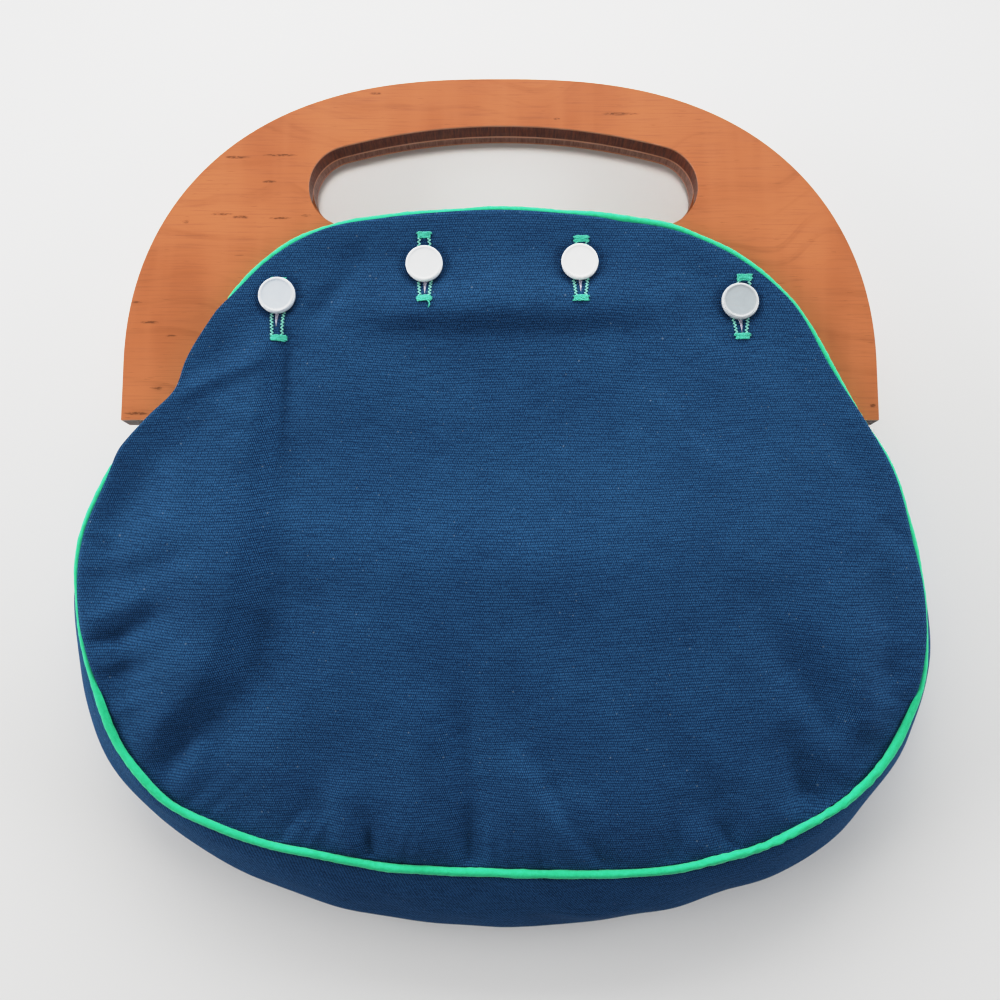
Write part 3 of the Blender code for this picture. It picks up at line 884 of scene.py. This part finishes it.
def wood_material(name, painted_edge_dark, painted_edge_light):
    """Honey-orange maple under satin varnish; its side walls take the given edge colours, which are painted light
    and shade.
    """
    graph = Graph(name)
    place = graph.add("ShaderNodeTexCoord").outputs["Object"]
    place = graph.stretch(place, (1 / MM, 1 / MM, 1 / MM))
    x, y, z = graph.split(place)
    bend = graph.noise(place, 0.012, 2.0)
    ring_y = graph.math("MULTIPLY_ADD", bend, 60.0, y)
    ring_place = graph.add("ShaderNodeCombineXYZ", X=graph.math("MULTIPLY", x, 0.03), Y=ring_y, Z=0.0)
    rings = graph.noise(ring_place.outputs[0], 0.22, 3.0, 0.55)
    fibre = graph.noise(graph.stretch(place, (0.05, 1.6, 0.4)), 1.0, 4.0, 0.65)
    curl = graph.noise(graph.stretch(place, (0.11, 0.012, 0.02)), 1.0, 2.0, 0.5)
    cloud = graph.noise(place, 0.022, 3.0, 0.5)
    pore = graph.noise(graph.stretch(place, (0.16, 2.4, 0.6)), 1.0, 1.0)
    light, middle, dark = (0.51, 0.184, 0.070), (0.405, 0.129, 0.045), (0.22, 0.060, 0.019)
    colour = graph.mix(graph.range(cloud, 0.25, 0.75), middle, light)
    colour = graph.mix(graph.range(rings, 0.50, 0.72, 0.0, 0.30), colour, dark)
    colour = graph.mix(graph.range(fibre, 0.45, 0.8, 0.0, 0.46), colour, dark)
    colour = graph.mix(graph.range(curl, 0.4, 0.70, 0.0, 0.45), colour, light)
    colour = graph.mix(graph.range(pore, 0.70, 0.80, 0.0, 0.55), colour, (0.16, 0.045, 0.016))
    streak = 0.0
    for fleck_x, fleck_s, half_length in FLECKS:
        across = graph.math("MULTIPLY_ADD", x, 1.0 / half_length, -fleck_x / half_length)
        wavy = graph.math("MULTIPLY_ADD", fibre, 1.6, graph.math("MULTIPLY_ADD", bend, 4.0, y))
        along = graph.math("DIVIDE", graph.math("SUBTRACT", wavy, fleck_s + 2.8), FLECK_HALF_WIDTH)
        reach = graph.math("MULTIPLY_ADD", across, across, graph.math("MULTIPLY", along, along))
        streak = graph.math("MAXIMUM", streak, graph.range(reach, 1.5, 0.4))
    torn = graph.noise(graph.stretch(place, (0.7, 2.2, 1.0)), 1.0, 2.0, 0.6)
    streak = graph.math("MULTIPLY", streak, graph.range(torn, 0.38, 0.58, 0.15, 0.85))
    colour = graph.mix(streak, colour, (0.13, 0.036, 0.012))
    depth = graph.math("ABSOLUTE", z)
    side = graph.range(depth, BOARD_THICK / 2 - 0.45, BOARD_THICK / 2 - 1.3)
    saw = graph.noise(graph.stretch(place, (1.3, 1.3, 0.09)), 1.0, 3.0, 0.7)
    # Side walls: the painted edge colours (painted shade and painted reflection, set per handle) replace the
    # wood's colour.
    cut = graph.mix(graph.range(saw, 0.3, 0.7), painted_edge_dark, painted_edge_light)
    colour = graph.mix(side, colour, cut)
    grain_height = graph.math("ADD", fibre, graph.math("MULTIPLY", saw, side))
    return graph.finish(
        Base_Color=colour,
        Roughness=graph.range(fibre, 0.3, 0.8, 0.34, 0.46),
        Coat_Weight=graph.math("MULTIPLY_ADD", side, -0.25, 0.25),
        Specular_IOR_Level=graph.math("MULTIPLY_ADD", side, -0.40, 0.5),
        Coat_Roughness=0.22,
        Normal=graph.bump(grain_height, 0.12, 0.10),
    )


def pearl_material(name, tone):
    """Glossy pearly plastic with faint clouds; its given tone carries painted reflection, and its paler rim is a
    painted highlight.
    """
    graph = Graph(name)
    place = graph.add("ShaderNodeTexCoord").outputs["Object"]
    place = graph.stretch(place, (1 / MM, 1 / MM, 1 / MM))
    cloud = graph.noise(place, 0.14, 3.0, 0.6, 0.8)
    veil = graph.noise(graph.stretch(place, (0.4, 1.3, 1.0)), 0.5, 2.0, 0.5, 0.5)
    cool = tuple(0.93 * part for part in tone)
    warm = (tone[0], 0.955 * tone[1], 0.93 * tone[2])
    colour = graph.mix(graph.range(cloud, 0.3, 0.7), tone, cool)
    colour = graph.mix(graph.range(veil, 0.5, 0.8, 0.0, 0.6), colour, warm)
    x, y, _ = graph.split(place)
    reach = graph.math("MULTIPLY_ADD", x, x, graph.math("MULTIPLY", y, y))
    # Paler rim: painted highlight along the button's raised edge.
    rim = graph.range(reach, 5.25**2, 5.6**2, 0.0, 0.75)
    colour = graph.mix(rim, colour, tuple(0.35 + 0.6 * part for part in tone))
    return graph.finish(
        Base_Color=colour,
        Roughness=graph.range(cloud, 0.3, 0.7, 0.16, 0.26),
        Coat_Weight=0.6,
        Coat_Roughness=0.06,
        Normal=graph.bump(cloud, 0.15, 0.12),
    )


def brass_material():
    """Satin brass, brushed and slightly tarnished."""
    graph = Graph("satin_brass")
    place = graph.add("ShaderNodeTexCoord").outputs["Object"]
    place = graph.stretch(place, (1 / MM, 1 / MM, 1 / MM))
    brush = graph.noise(graph.stretch(place, (0.3, 5.0, 5.0)), 1.0, 3.0, 0.6)
    tarnish = graph.noise(place, 0.18, 4.0, 0.6)
    colour = graph.mix(graph.range(tarnish, 0.4, 0.75), (0.66, 0.47, 0.18), (0.30, 0.19, 0.07))
    return graph.finish(
        Base_Color=colour,
        Metallic=1.0,
        Roughness=graph.range(brush, 0.3, 0.7, 0.28, 0.44),
        Normal=graph.bump(brush, 0.2, 0.05),
    )


def floor_material():
    """Matt white table."""
    graph = Graph("white_table")
    place = graph.add("ShaderNodeTexCoord").outputs["Object"]
    tone = graph.noise(place, 3.0, 2.0)
    colour = graph.mix(graph.range(tone, 0.3, 0.7), (0.80, 0.795, 0.785), (0.81, 0.805, 0.80))
    return graph.finish(Base_Color=colour, Roughness=0.7, Specular_IOR_Level=0.2)


# ---- handles


def add_loop(curve, points):
    """Closed straight-sided loop in a curve, points in millimetres."""
    spline = curve.splines.new("POLY")
    spline.points.add(len(points) - 1)
    for point, (x, y) in zip(spline.points, points):
        point.co = (x * MM, y * MM, 0.0, 1.0)
    spline.use_cyclic_u = True


def power_arc(half_width, rise, wide_power, high_power, steps):
    """Points of a squared-off half ellipse from +X to -X."""
    turn = np.linspace(0.0, math.pi, steps)
    cosine = np.cos(turn)
    across = np.copysign(np.abs(cosine) ** (2 / wide_power), cosine)
    return list(zip(half_width * across, rise * np.abs(np.sin(turn)) ** (2 / high_power)))


def board_outline():
    """Outer edge of a handle, with the arch between its legs."""
    arc = power_arc(HALF_WIDTH, ARC_RISE, ARC_WIDE_POWER, ARC_HIGH_POWER, 161)
    arch = power_arc(ARCH_HALF_WIDTH, ARCH_RISE, ARCH_POWER, ARCH_POWER, 71)
    loop = [(HALF_WIDTH, 0.0)]
    loop += [(x, SIDE_STRAIGHT + s) for x, s in arc]
    loop += [(-HALF_WIDTH, 0.0)]
    loop += [(x, s) for x, s in reversed(arch)]
    return loop


def slot_outline():
    """Edge of the grip slot."""
    reach = SLOT_ARC_RADIUS - SLOT_END_RADIUS
    top_turn = math.acos(SLOT_END_X / reach)
    arc_centre = SLOT_CENTRE_S - reach * math.sin(top_turn)
    turns = np.linspace(-math.pi / 2, top_turn, 30)
    right = [
        (SLOT_END_X + SLOT_END_RADIUS * math.cos(t), SLOT_CENTRE_S + SLOT_END_RADIUS * math.sin(t))
        for t in turns
    ]
    turns = np.linspace(top_turn, math.pi - top_turn, 40)[1:-1]
    upper = [
        (SLOT_ARC_RADIUS * math.cos(t), arc_centre + SLOT_ARC_RADIUS * math.sin(t)) for t in turns
    ]
    left = [(-x, s) for x, s in reversed(right)]
    low = SLOT_CENTRE_S - SLOT_END_RADIUS
    lower = [
        (x, low + SLOT_LOW_RISE * (1.0 - (x / SLOT_END_X) ** 2))
        for x in np.linspace(-SLOT_END_X, SLOT_END_X, 30)[1:-1]
    ]
    return [(x + SLOT_CENTRE_X, s) for x, s in right + upper + left + lower]


def on_board(x, s, depth):
    """Point in metres: x, distance from the lower ends and depth below the front face."""
    y = s * math.cos(BOARD_TILT) - depth * math.sin(BOARD_TILT)
    z = HINGE_HEIGHT - s * math.sin(BOARD_TILT) - depth * math.cos(BOARD_TILT)
    return Vector(placed((x, y, z)))


def make_board(name, shift, depth, material):
    """One wooden handle with rounded edges."""
    curve = bpy.data.curves.new(name, "CURVE")
    curve.dimensions = "2D"
    curve.fill_mode = "BOTH"
    curve.extrude = BOARD_THICK * MM / 2
    add_loop(curve, board_outline())
    add_loop(curve, slot_outline())
    pattern = bpy.data.objects.new("pattern", curve)
    bpy.context.scene.collection.objects.link(pattern)
    graph = bpy.context.evaluated_depsgraph_get()
    mesh = bpy.data.meshes.new_from_object(pattern.evaluated_get(graph))
    bpy.data.objects.remove(pattern, do_unlink=True)
    mesh.name = name
    mesh.shade_smooth()

    board = bpy.data.objects.new(f"{name}_wood", mesh)
    bpy.context.scene.collection.objects.link(board)
    mesh.materials.clear()
    mesh.materials.append(material)
    weld = board.modifiers.new("weld", "WELD")
    weld.merge_threshold = 0.00005
    rounding = board.modifiers.new("rounding", "BEVEL")
    rounding.width = BOARD_EDGE * MM
    rounding.segments = 4
    rounding.limit_method = "ANGLE"
    rounding.angle_limit = math.radians(50)
    rounding.harden_normals = True
    bake_modifiers(board)
    board.location = on_board(0.0, shift, depth + BOARD_THICK / 2)
    board.rotation_euler = (-BOARD_TILT, 0.0, 0.0)
    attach(board, "root")
    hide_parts(name)
    return board


# ---- cover


def cloth_coordinates(x, y, relief):
    """Cloth coordinates of panel points: rib rows that sway a little with the folds."""
    rise = 0.25 * relief
    sway = 0.9 * ripples(x, y, 110.0, 41)
    return np.stack([x + 0.4 * rise, y + rise + sway, np.zeros_like(x)], axis=-1)


def make_front_panel(material):
    """Front panel of the cover with folds and dimples."""
    rho, angle = disc_grid(PANEL_CELLS)
    x, y = on_cover(front_radius(angle) * rho, angle)
    relief = front_relief(x, y, rho, angle)
    z = front_height(x, y, rho, angle)
    mesh = grid_mesh(
        "panel_front_cloth", np.stack([x, y, z], axis=-1), cloth=cloth_coordinates(x, y, relief)
    )
    panel = add_piece("panel_front_cloth", mesh, material, ["panel_front"])
    thicken(panel, CLOTH)
    return panel


def make_back_panel(material):
    """Back panel of the cover, flat on the table."""
    rho, angle = disc_grid(BACK_CELLS)
    x, y = on_cover(back_radius(angle) * rho, angle)
    z = back_height(x, y, rho, angle)
    mesh = grid_mesh(
        "panel_back_cloth", np.stack([x, y, z], axis=-1), cloth=cloth_coordinates(x, y, 0.0 * x)
    )
    panel = add_piece("panel_back_cloth", mesh, material, ["panel_back"])
    thicken(panel, CLOTH)
    return panel


def gusset_points():
    """Middle of the gusset's cloth: stations round the body, rows from front to back piping."""
    angle = np.linspace(GUSSET_START, GUSSET_END, GUSSET_STATIONS)[:, None]
    row = np.linspace(0.0, 1.0, GUSSET_ROWS)[None, :]
    table = np.array(GUSSET_SECTION)
    share = np.interp(row, table[:, 0], table[:, 1])
    for _ in range(3):
        share = np.concatenate(
            [share[:, :1], (share[:, :-2] + 2 * share[:, 1:-1] + share[:, 2:]) / 4, share[:, -1:]], axis=1
        )
    front, back = front_piping_radius(angle), back_piping_radius(angle)
    south = on_cover(front, angle)[1]
    high, low = front_rim(south), back_rim(south)
    line = blend(front, back, row)
    wanted = np.maximum(front + around(angle, 2) + PIPING_RADIUS, line)
    radius = blend(line, wanted, share)
    height = blend(high, low, row)
    travel = np.radians(angle) * 130.0
    belly = np.sin(np.pi * row) ** 2
    radius = radius + belly * 0.5 * ripples(travel, 60.0 * row, 34.0, 53)
    section = np.stack([radius, np.broadcast_to(height, radius.shape)], axis=-1)
    clear = PIPING_RADIUS + GUSSET_CLEAR
    for end, inner in ((0, 3), (-1, -4)):
        lead = section[:, inner] - section[:, end]
        lead /= np.linalg.norm(lead, axis=-1, keepdims=True)
        shift = lead * clear
        fade = np.exp(-(np.abs(row[0] - row[0][end]) / 0.10) ** 2)
        section = section + shift[:, None, :] * fade[None, :, None]
    x, y = on_cover(section[..., 0], angle)
    return np.stack([x, y, section[..., 1]], axis=-1), travel, row


def make_gusset(material):
    """Side and bottom wall of the body, cut on the bias."""
    points, travel, row = gusset_points()
    down = np.concatenate(
        [
            np.zeros((GUSSET_STATIONS, 1)),
            np.cumsum(np.linalg.norm(np.diff(points, axis=1), axis=-1), axis=1),
        ],
        axis=1,
    )
    cloth = np.stack([np.broadcast_to(travel, down.shape), -down, np.zeros_like(down)], axis=-1)
    mesh = grid_mesh("gusset_cloth", points, cloth=cloth)
    gusset = add_piece("gusset_cloth", mesh, material, ["gusset"])
    thicken(gusset, CLOTH)
    return gusset


def piping_points(radius_at, height_at, seed):
    """Surface of a piping tube: stations round the cover, sides round the cord."""
    angle = np.linspace(0.0, 360.0, PIPING_STATIONS, endpoint=False)
    travel = np.radians(angle) * 130.0
    circle = np.radians(angle)
    wander_x = 130.0 * np.cos(circle)
    wander_y = 130.0 * np.sin(circle)
    centre = radius_at(angle) + 0.14 * ripples(wander_x, wander_y, 30.0, seed)
    x, y = on_cover(centre, angle)
    z = height_at(angle, y) + 0.12 * ripples(wander_x, wander_y, 22.0, seed + 1)
    turn = np.linspace(0.0, 2.0 * math.pi, PIPING_SIDES, endpoint=False)[None, :]
    right_low = ease((angle - 296.0) / 12.0) * ease((336.0 - angle) / 14.0)
    twist = ripples(wander_x[:, None] + 2.2 * np.cos(turn), wander_y[:, None] + 2.2 * np.sin(turn), 3.4, seed + 2)
    amount = 0.035 + 0.11 * right_low
    tube = PIPING_RADIUS * (1.0 + 0.03 * ripples(wander_x, wander_y, 14.0, seed + 3))[:, None]
    tube = tube + amount[:, None] * twist
    out = np.cos(turn) * tube
    up = np.sin(turn) * tube
    points = np.stack(
        [
            x[:, None] + out * np.cos(circle)[:, None],
            y[:, None] + out * np.sin(circle)[:, None],
            z[:, None] + up,
        ],
        axis=-1,
    )
    cloth = np.stack(
        [
            np.broadcast_to(travel[:, None], out.shape),
            np.broadcast_to(turn * PIPING_RADIUS, out.shape),
            np.zeros_like(out),
        ],
        axis=-1,
    )
    return points, cloth


def make_piping(name, node, radius_at, height_at, seed, material):
    """Round green piping sewn round a panel's edge."""
    points, cloth = piping_points(radius_at, height_at, seed)
    mesh = grid_mesh(name, points[:, ::-1], close_rows=True, close_columns=True, cloth=cloth[:, ::-1])
    return add_piece(name, mesh, material, [node])


# ---- buttons and stitching


def make_button(number, side, x, s, depth, turn, material):
    """Flat button with a rounded raised rim on a short shank."""
    profile = np.array(BUTTON_PROFILE)
    turns = np.linspace(0.0, 2.0 * math.pi, BUTTON_STEPS, endpoint=False)
    radius, reach = profile[1:-1, 0], profile[1:-1, 1]
    rings = np.stack(
        [
            radius[:, None] * np.cos(turns),
            radius[:, None] * np.sin(turns),
            np.broadcast_to(reach[:, None], (len(radius), BUTTON_STEPS)),
        ],
        axis=-1,
    )
    shell = bmesh.new()
    rows = [[shell.verts.new(Vector(p) * MM) for p in ring] for ring in rings]
    for lower, upper in zip(rows[:-1], rows[1:]):
        for k in range(BUTTON_STEPS):
            after = (k + 1) % BUTTON_STEPS
            shell.faces.new((lower[k], lower[after], upper[after], upper[k]))
    for ring, height in ((rows[0], profile[0][1]), (rows[-1], profile[-1][1])):
        hub = shell.verts.new(Vector((0.0, 0.0, height)) * MM)
        for k in range(BUTTON_STEPS):
            shell.faces.new((ring[k], ring[(k + 1) % BUTTON_STEPS], hub))
    bmesh.ops.recalc_face_normals(shell, faces=shell.faces)
    name = f"button_{side}_{number}"
    mesh = bpy.data.meshes.new(f"{name}_pearl")
    shell.to_mesh(mesh)
    shell.free()
    mesh.shade_smooth()
    button = bpy.data.objects.new(f"{name}_pearl", mesh)
    bpy.context.scene.collection.objects.link(button)
    mesh.materials.append(material)
    button.location = on_board(x, s, depth)
    button.rotation_euler = (turn - BOARD_TILT, 0.0, 0.0)
    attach(button, "root")
    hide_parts(name)
    return button


def on_cloth(side, number, points, lift):
    """Table points on the outside of a panel from offsets to a button's centre."""
    button_x, button_s, _ = BUTTONS[number - 1]
    if side == "back":
        button_s += BACK_BOARD_SHIFT
    points = np.asarray(points, float)
    x = button_x + points[:, 0]
    y = button_s * math.cos(BOARD_TILT) + points[:, 1]
    if side == "front":
        z = front_surface(x, y) + CLOTH / 2 + lift
    else:
        z = back_surface(x, y) - CLOTH / 2 - lift
    return np.stack([x, y, z], axis=-1)


def bar_threads(side):
    """Paths of the satin bars at the ends of the buttonholes, with the loose thread end."""
    random = np.random.default_rng(83)
    paths = []
    for number, (top_x, top_y, low_x, low_y, *_) in enumerate(BUTTONHOLES, start=1):
        for x, y in ((top_x, top_y), (low_x, low_y)):
            points, lift = [], []
            for strand in range(BAR_STRANDS):
                row = y + (strand - (BAR_STRANDS - 1) / 2) * BAR_STRAND_GAP
                reach = BAR_HALF_LENGTH + random.uniform(-0.5, 0.45)
                way = np.linspace(-1.0, 1.0, 9) * (1 if strand % 2 else -1)
                points += [(x + reach * w, row + random.uniform(-0.12, 0.12)) for w in way]
                lift += [0.16 + 0.22 * math.cos(w * math.pi / 2) + random.uniform(0, 0.1) for w in way]
            paths.append(on_cloth(side, number, points, np.array(lift)))
        if number == TAIL_BUTTON:
            paths.append(on_cloth(side, number, TAIL, 0.3))
    return paths


def row_threads(side):
    """Paths of the zigzag rows along both edges of each buttonhole."""
    paths = []
    for number, (top_x, top_y, _, low_y, left, right, _, _) in enumerate(BUTTONHOLES, start=1):
        for way, reach in ((-1.0, left), (1.0, right)):
            y = np.arange(low_y + 0.7, top_y - 0.7, ROW_PITCH / 8)
            ends = (0.2 + way * ROW_OFFSET, way * reach, top_x + way * ROW_OFFSET)
            middle = np.interp(y, (low_y + 0.7, 0.0, top_y - 0.7), ends)
            phase = 2.0 * math.pi * y / ROW_PITCH
            swing = np.arcsin(0.96 * np.sin(phase)) / (math.pi / 2)
            x = middle + ROW_SWING * swing
            points = np.stack([x, y + 0.10 * np.sin(2.0 * phase)], axis=-1)
            paths.append(on_cloth(side, number, points, 0.12 + 0.14 * (1.0 - swing**2)))
    return paths


def tube_rings(path, radius, sides):
    """Rings of points round a path, closed to a blunt end by smaller rings."""
    lead = np.gradient(path, axis=0)
    lead /= np.linalg.norm(lead, axis=1, keepdims=True)
    beside = np.cross(lead, (0.0, 0.0, 1.0))
    beside /= np.linalg.norm(beside, axis=1, keepdims=True)
    above = np.cross(beside, lead)
    size = np.full((len(path), 1), radius)
    size[0] = size[-1] = 0.4 * radius
    turns = np.linspace(0.0, 2.0 * math.pi, sides, endpoint=False)
    return [path + size * (math.cos(t) * beside + math.sin(t) * above) for t in turns]


def make_stitches(name, side, paths, radius, material):
    """One piece of all the threads that follow the paths."""
    shell = bmesh.new()
    for path in paths:
        rings = np.stack(tube_rings(path, radius, THREAD_SIDES), axis=1)
        rows = [[shell.verts.new(Vector(p)) for p in placed(ring)] for ring in rings]
        for first, second in zip(rows[:-1], rows[1:]):
            for k in range(THREAD_SIDES):
                after = (k + 1) % THREAD_SIDES
                shell.faces.new((first[k], first[after], second[after], second[k]))
        shell.faces.new(rows[0])
        shell.faces.new(rows[-1])
    bmesh.ops.recalc_face_normals(shell, faces=shell.faces)
    mesh = bpy.data.meshes.new(name)
    shell.to_mesh(mesh)
    shell.free()
    mesh.shade_smooth()
    return add_piece(name, mesh, material, [f"panel_{side}"])


def make_shank(number, side, material):
    """Wedge of sewing thread that shows in the slit below a button."""
    start_x, tip_x = BUTTONHOLES[number - 1][6:]
    share = np.linspace(0.0, 1.0, 12)
    points = np.stack([blend(start_x, tip_x, share), blend(SHANK_START, SHANK_TIP, share)], axis=-1)
    middle = on_cloth(side, number, points, blend(0.05, -0.05, share))
    width = SHANK_HALF_WIDTH * (1.0 - 0.93 * share)
    turns = np.linspace(0.0, 2.0 * math.pi, 14, endpoint=False)
    rings = np.repeat(middle[:, None, :], len(turns), axis=1)
    rings[..., 0] += width[:, None] * np.cos(turns)
    rings[..., 2] += np.minimum(width, 0.3)[:, None] * np.sin(turns)
    name = f"button_{side}_{number}_shank"
    mesh = grid_mesh(name, rings, close_columns=True)
    return add_piece(name, mesh, material, [f"button_{side}_{number}"])


# ---- stage


def add_light(name, place, width, height, power, colour):
    """Soft light of a rectangle aimed at the middle of the bag."""
    data = bpy.data.lights.new(name, "AREA")
    data.shape = "RECTANGLE"
    data.size = width
    data.size_y = height
    data.energy = power
    data.color = colour
    light = bpy.data.objects.new(name, data)
    bpy.context.scene.collection.objects.link(light)
    light.location = place
    light.rotation_euler = Vector(place).to_track_quat("Z", "Y").to_euler()
    light.visible_camera = False
    return light


def set_stage():
    """Pale table, soft light and the camera."""
    bpy.ops.mesh.primitive_plane_add(size=4.0, location=(0.0, 0.0, 0.0))
    floor = bpy.context.active_object
    floor.name = "table"
    floor.data.materials.append(floor_material())

    world = bpy.data.worlds.new("soft_room")
    bpy.context.scene.world = world
    world.use_nodes = True
    world.node_tree.nodes["Background"].inputs["Color"].default_value = (0.97, 0.985, 1.0, 1.0)
    world.node_tree.nodes["Background"].inputs["Strength"].default_value = 0.14
    for name, turn, height, width, power, colour in LIGHTS:
        turn, height = math.radians(turn), math.radians(height)
        flat = LIGHT_DISTANCE * math.cos(height)
        place = (flat * math.cos(turn), flat * math.sin(turn), LIGHT_DISTANCE * math.sin(height))
        add_light(name, place, width, 0.6 * width, power, colour)
    above = add_light("above_table", ABOVE_PLACE, 0.25, 0.25, ABOVE_POWER, (1.0, 1.0, 0.99))
    above.rotation_euler = (0.0, 0.0, 0.0)
    above.data.spread = ABOVE_SPREAD
    lit_by_above = bpy.data.collections.new("lit_by_above_table")
    lit_by_above.objects.link(floor)
    above.light_linking.receiver_collection = lit_by_above

    data = bpy.data.cameras.new("camera")
    data.lens = CAMERA_FOCAL
    data.sensor_width = CAMERA_SENSOR
    data.clip_start = 0.01
    camera = bpy.data.objects.new("camera", data)
    bpy.context.scene.collection.objects.link(camera)
    camera.location = Vector(placed(CAMERA_PLACE))
    camera.rotation_euler = (CAMERA_LEAN, 0.0, 0.0)
    bpy.context.scene.camera = camera
    set_tone()


def set_tone():
    """Photographic contrast: deep darks and a soft shoulder below white."""
    view = bpy.context.scene.view_settings
    view.view_transform = "Standard"
    view.use_curve_mapping = True
    mapping = view.curve_mapping
    mapping.white_level = (TONE_WHITE, TONE_WHITE, TONE_WHITE)
    curve = mapping.curves[3]
    first, last = curve.points[0], curve.points[-1]
    first.location = (0.0, 0.0)
    last.location = (1.0, TONE[-1][1])
    for light, shown in TONE[1:-1]:
        curve.points.new(light / TONE_WHITE, shown)
    mapping.update()


def build():
    """Make every piece of the bag and its setting."""
    brass = brass_material()
    cloth = cloth_material("cover_navy", 0.0)
    bias = cloth_material("gusset_navy", math.radians(52))
    green = piping_material()
    far = 2 * BOARD_THICK + BOARD_GAP

    # Dark brown edge colours: painted shade on the front handle's walls.
    wood = wood_material("varnished_maple", (0.058, 0.0095, 0.0015), (0.140, 0.031, 0.008))
    make_board("handle_front", 0.0, 0.0, wood)
    # Mauve edge colours: painted reflection of the white table on the back handle's walls.
    wood = wood_material("varnished_maple_back", (0.14, 0.062, 0.045), (0.26, 0.14, 0.11))
    make_board("handle_back", BACK_BOARD_SHIFT, BOARD_THICK + BOARD_GAP, wood)
    for name in ("hinge_left", "hinge_right"):
        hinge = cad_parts[name]
        hinge.data.materials.clear()
        hinge.data.materials.append(brass)

    front = make_front_panel(cloth)
    back = make_back_panel(cloth)
    gusset = make_gusset(bias)
    make_piping("piping_front_cord", "piping_front", front_piping_radius, front_piping_height, 61, green)
    make_piping("piping_back_cord", "piping_back", back_piping_radius, back_piping_height, 71, green)
    shank = thread_material("shank_thread", (0.36, 0.34, 0.44), (0.56, 0.53, 0.63))
    for number, (x, s, tone) in enumerate(BUTTONS, start=1):
        # The four pearl tones are one pearl with painted reflection: brighter or greyer per button.
        pearl = pearl_material(f"pearl_{number}", tone)
        make_button(number, "front", x, s, 0.0, 0.0, pearl)
        make_button(number, "back", x, s + BACK_BOARD_SHIFT, far, math.pi, pearl)
        make_shank(number, "front", shank)
        make_shank(number, "back", shank)
    satin = thread_material("thread_turquoise", (0.030, 0.43, 0.29), (0.070, 0.62, 0.45))
    pale = thread_material("thread_mint", (0.13, 0.50, 0.40), (0.30, 0.74, 0.62))
    for side in ("front", "back"):
        make_stitches(f"stitch_bars_{side}", side, bar_threads(side), BAR_THREAD, satin)
        make_stitches(f"stitch_rows_{side}", side, row_threads(side), ROW_THREAD, pale)

    set_stage()


build()
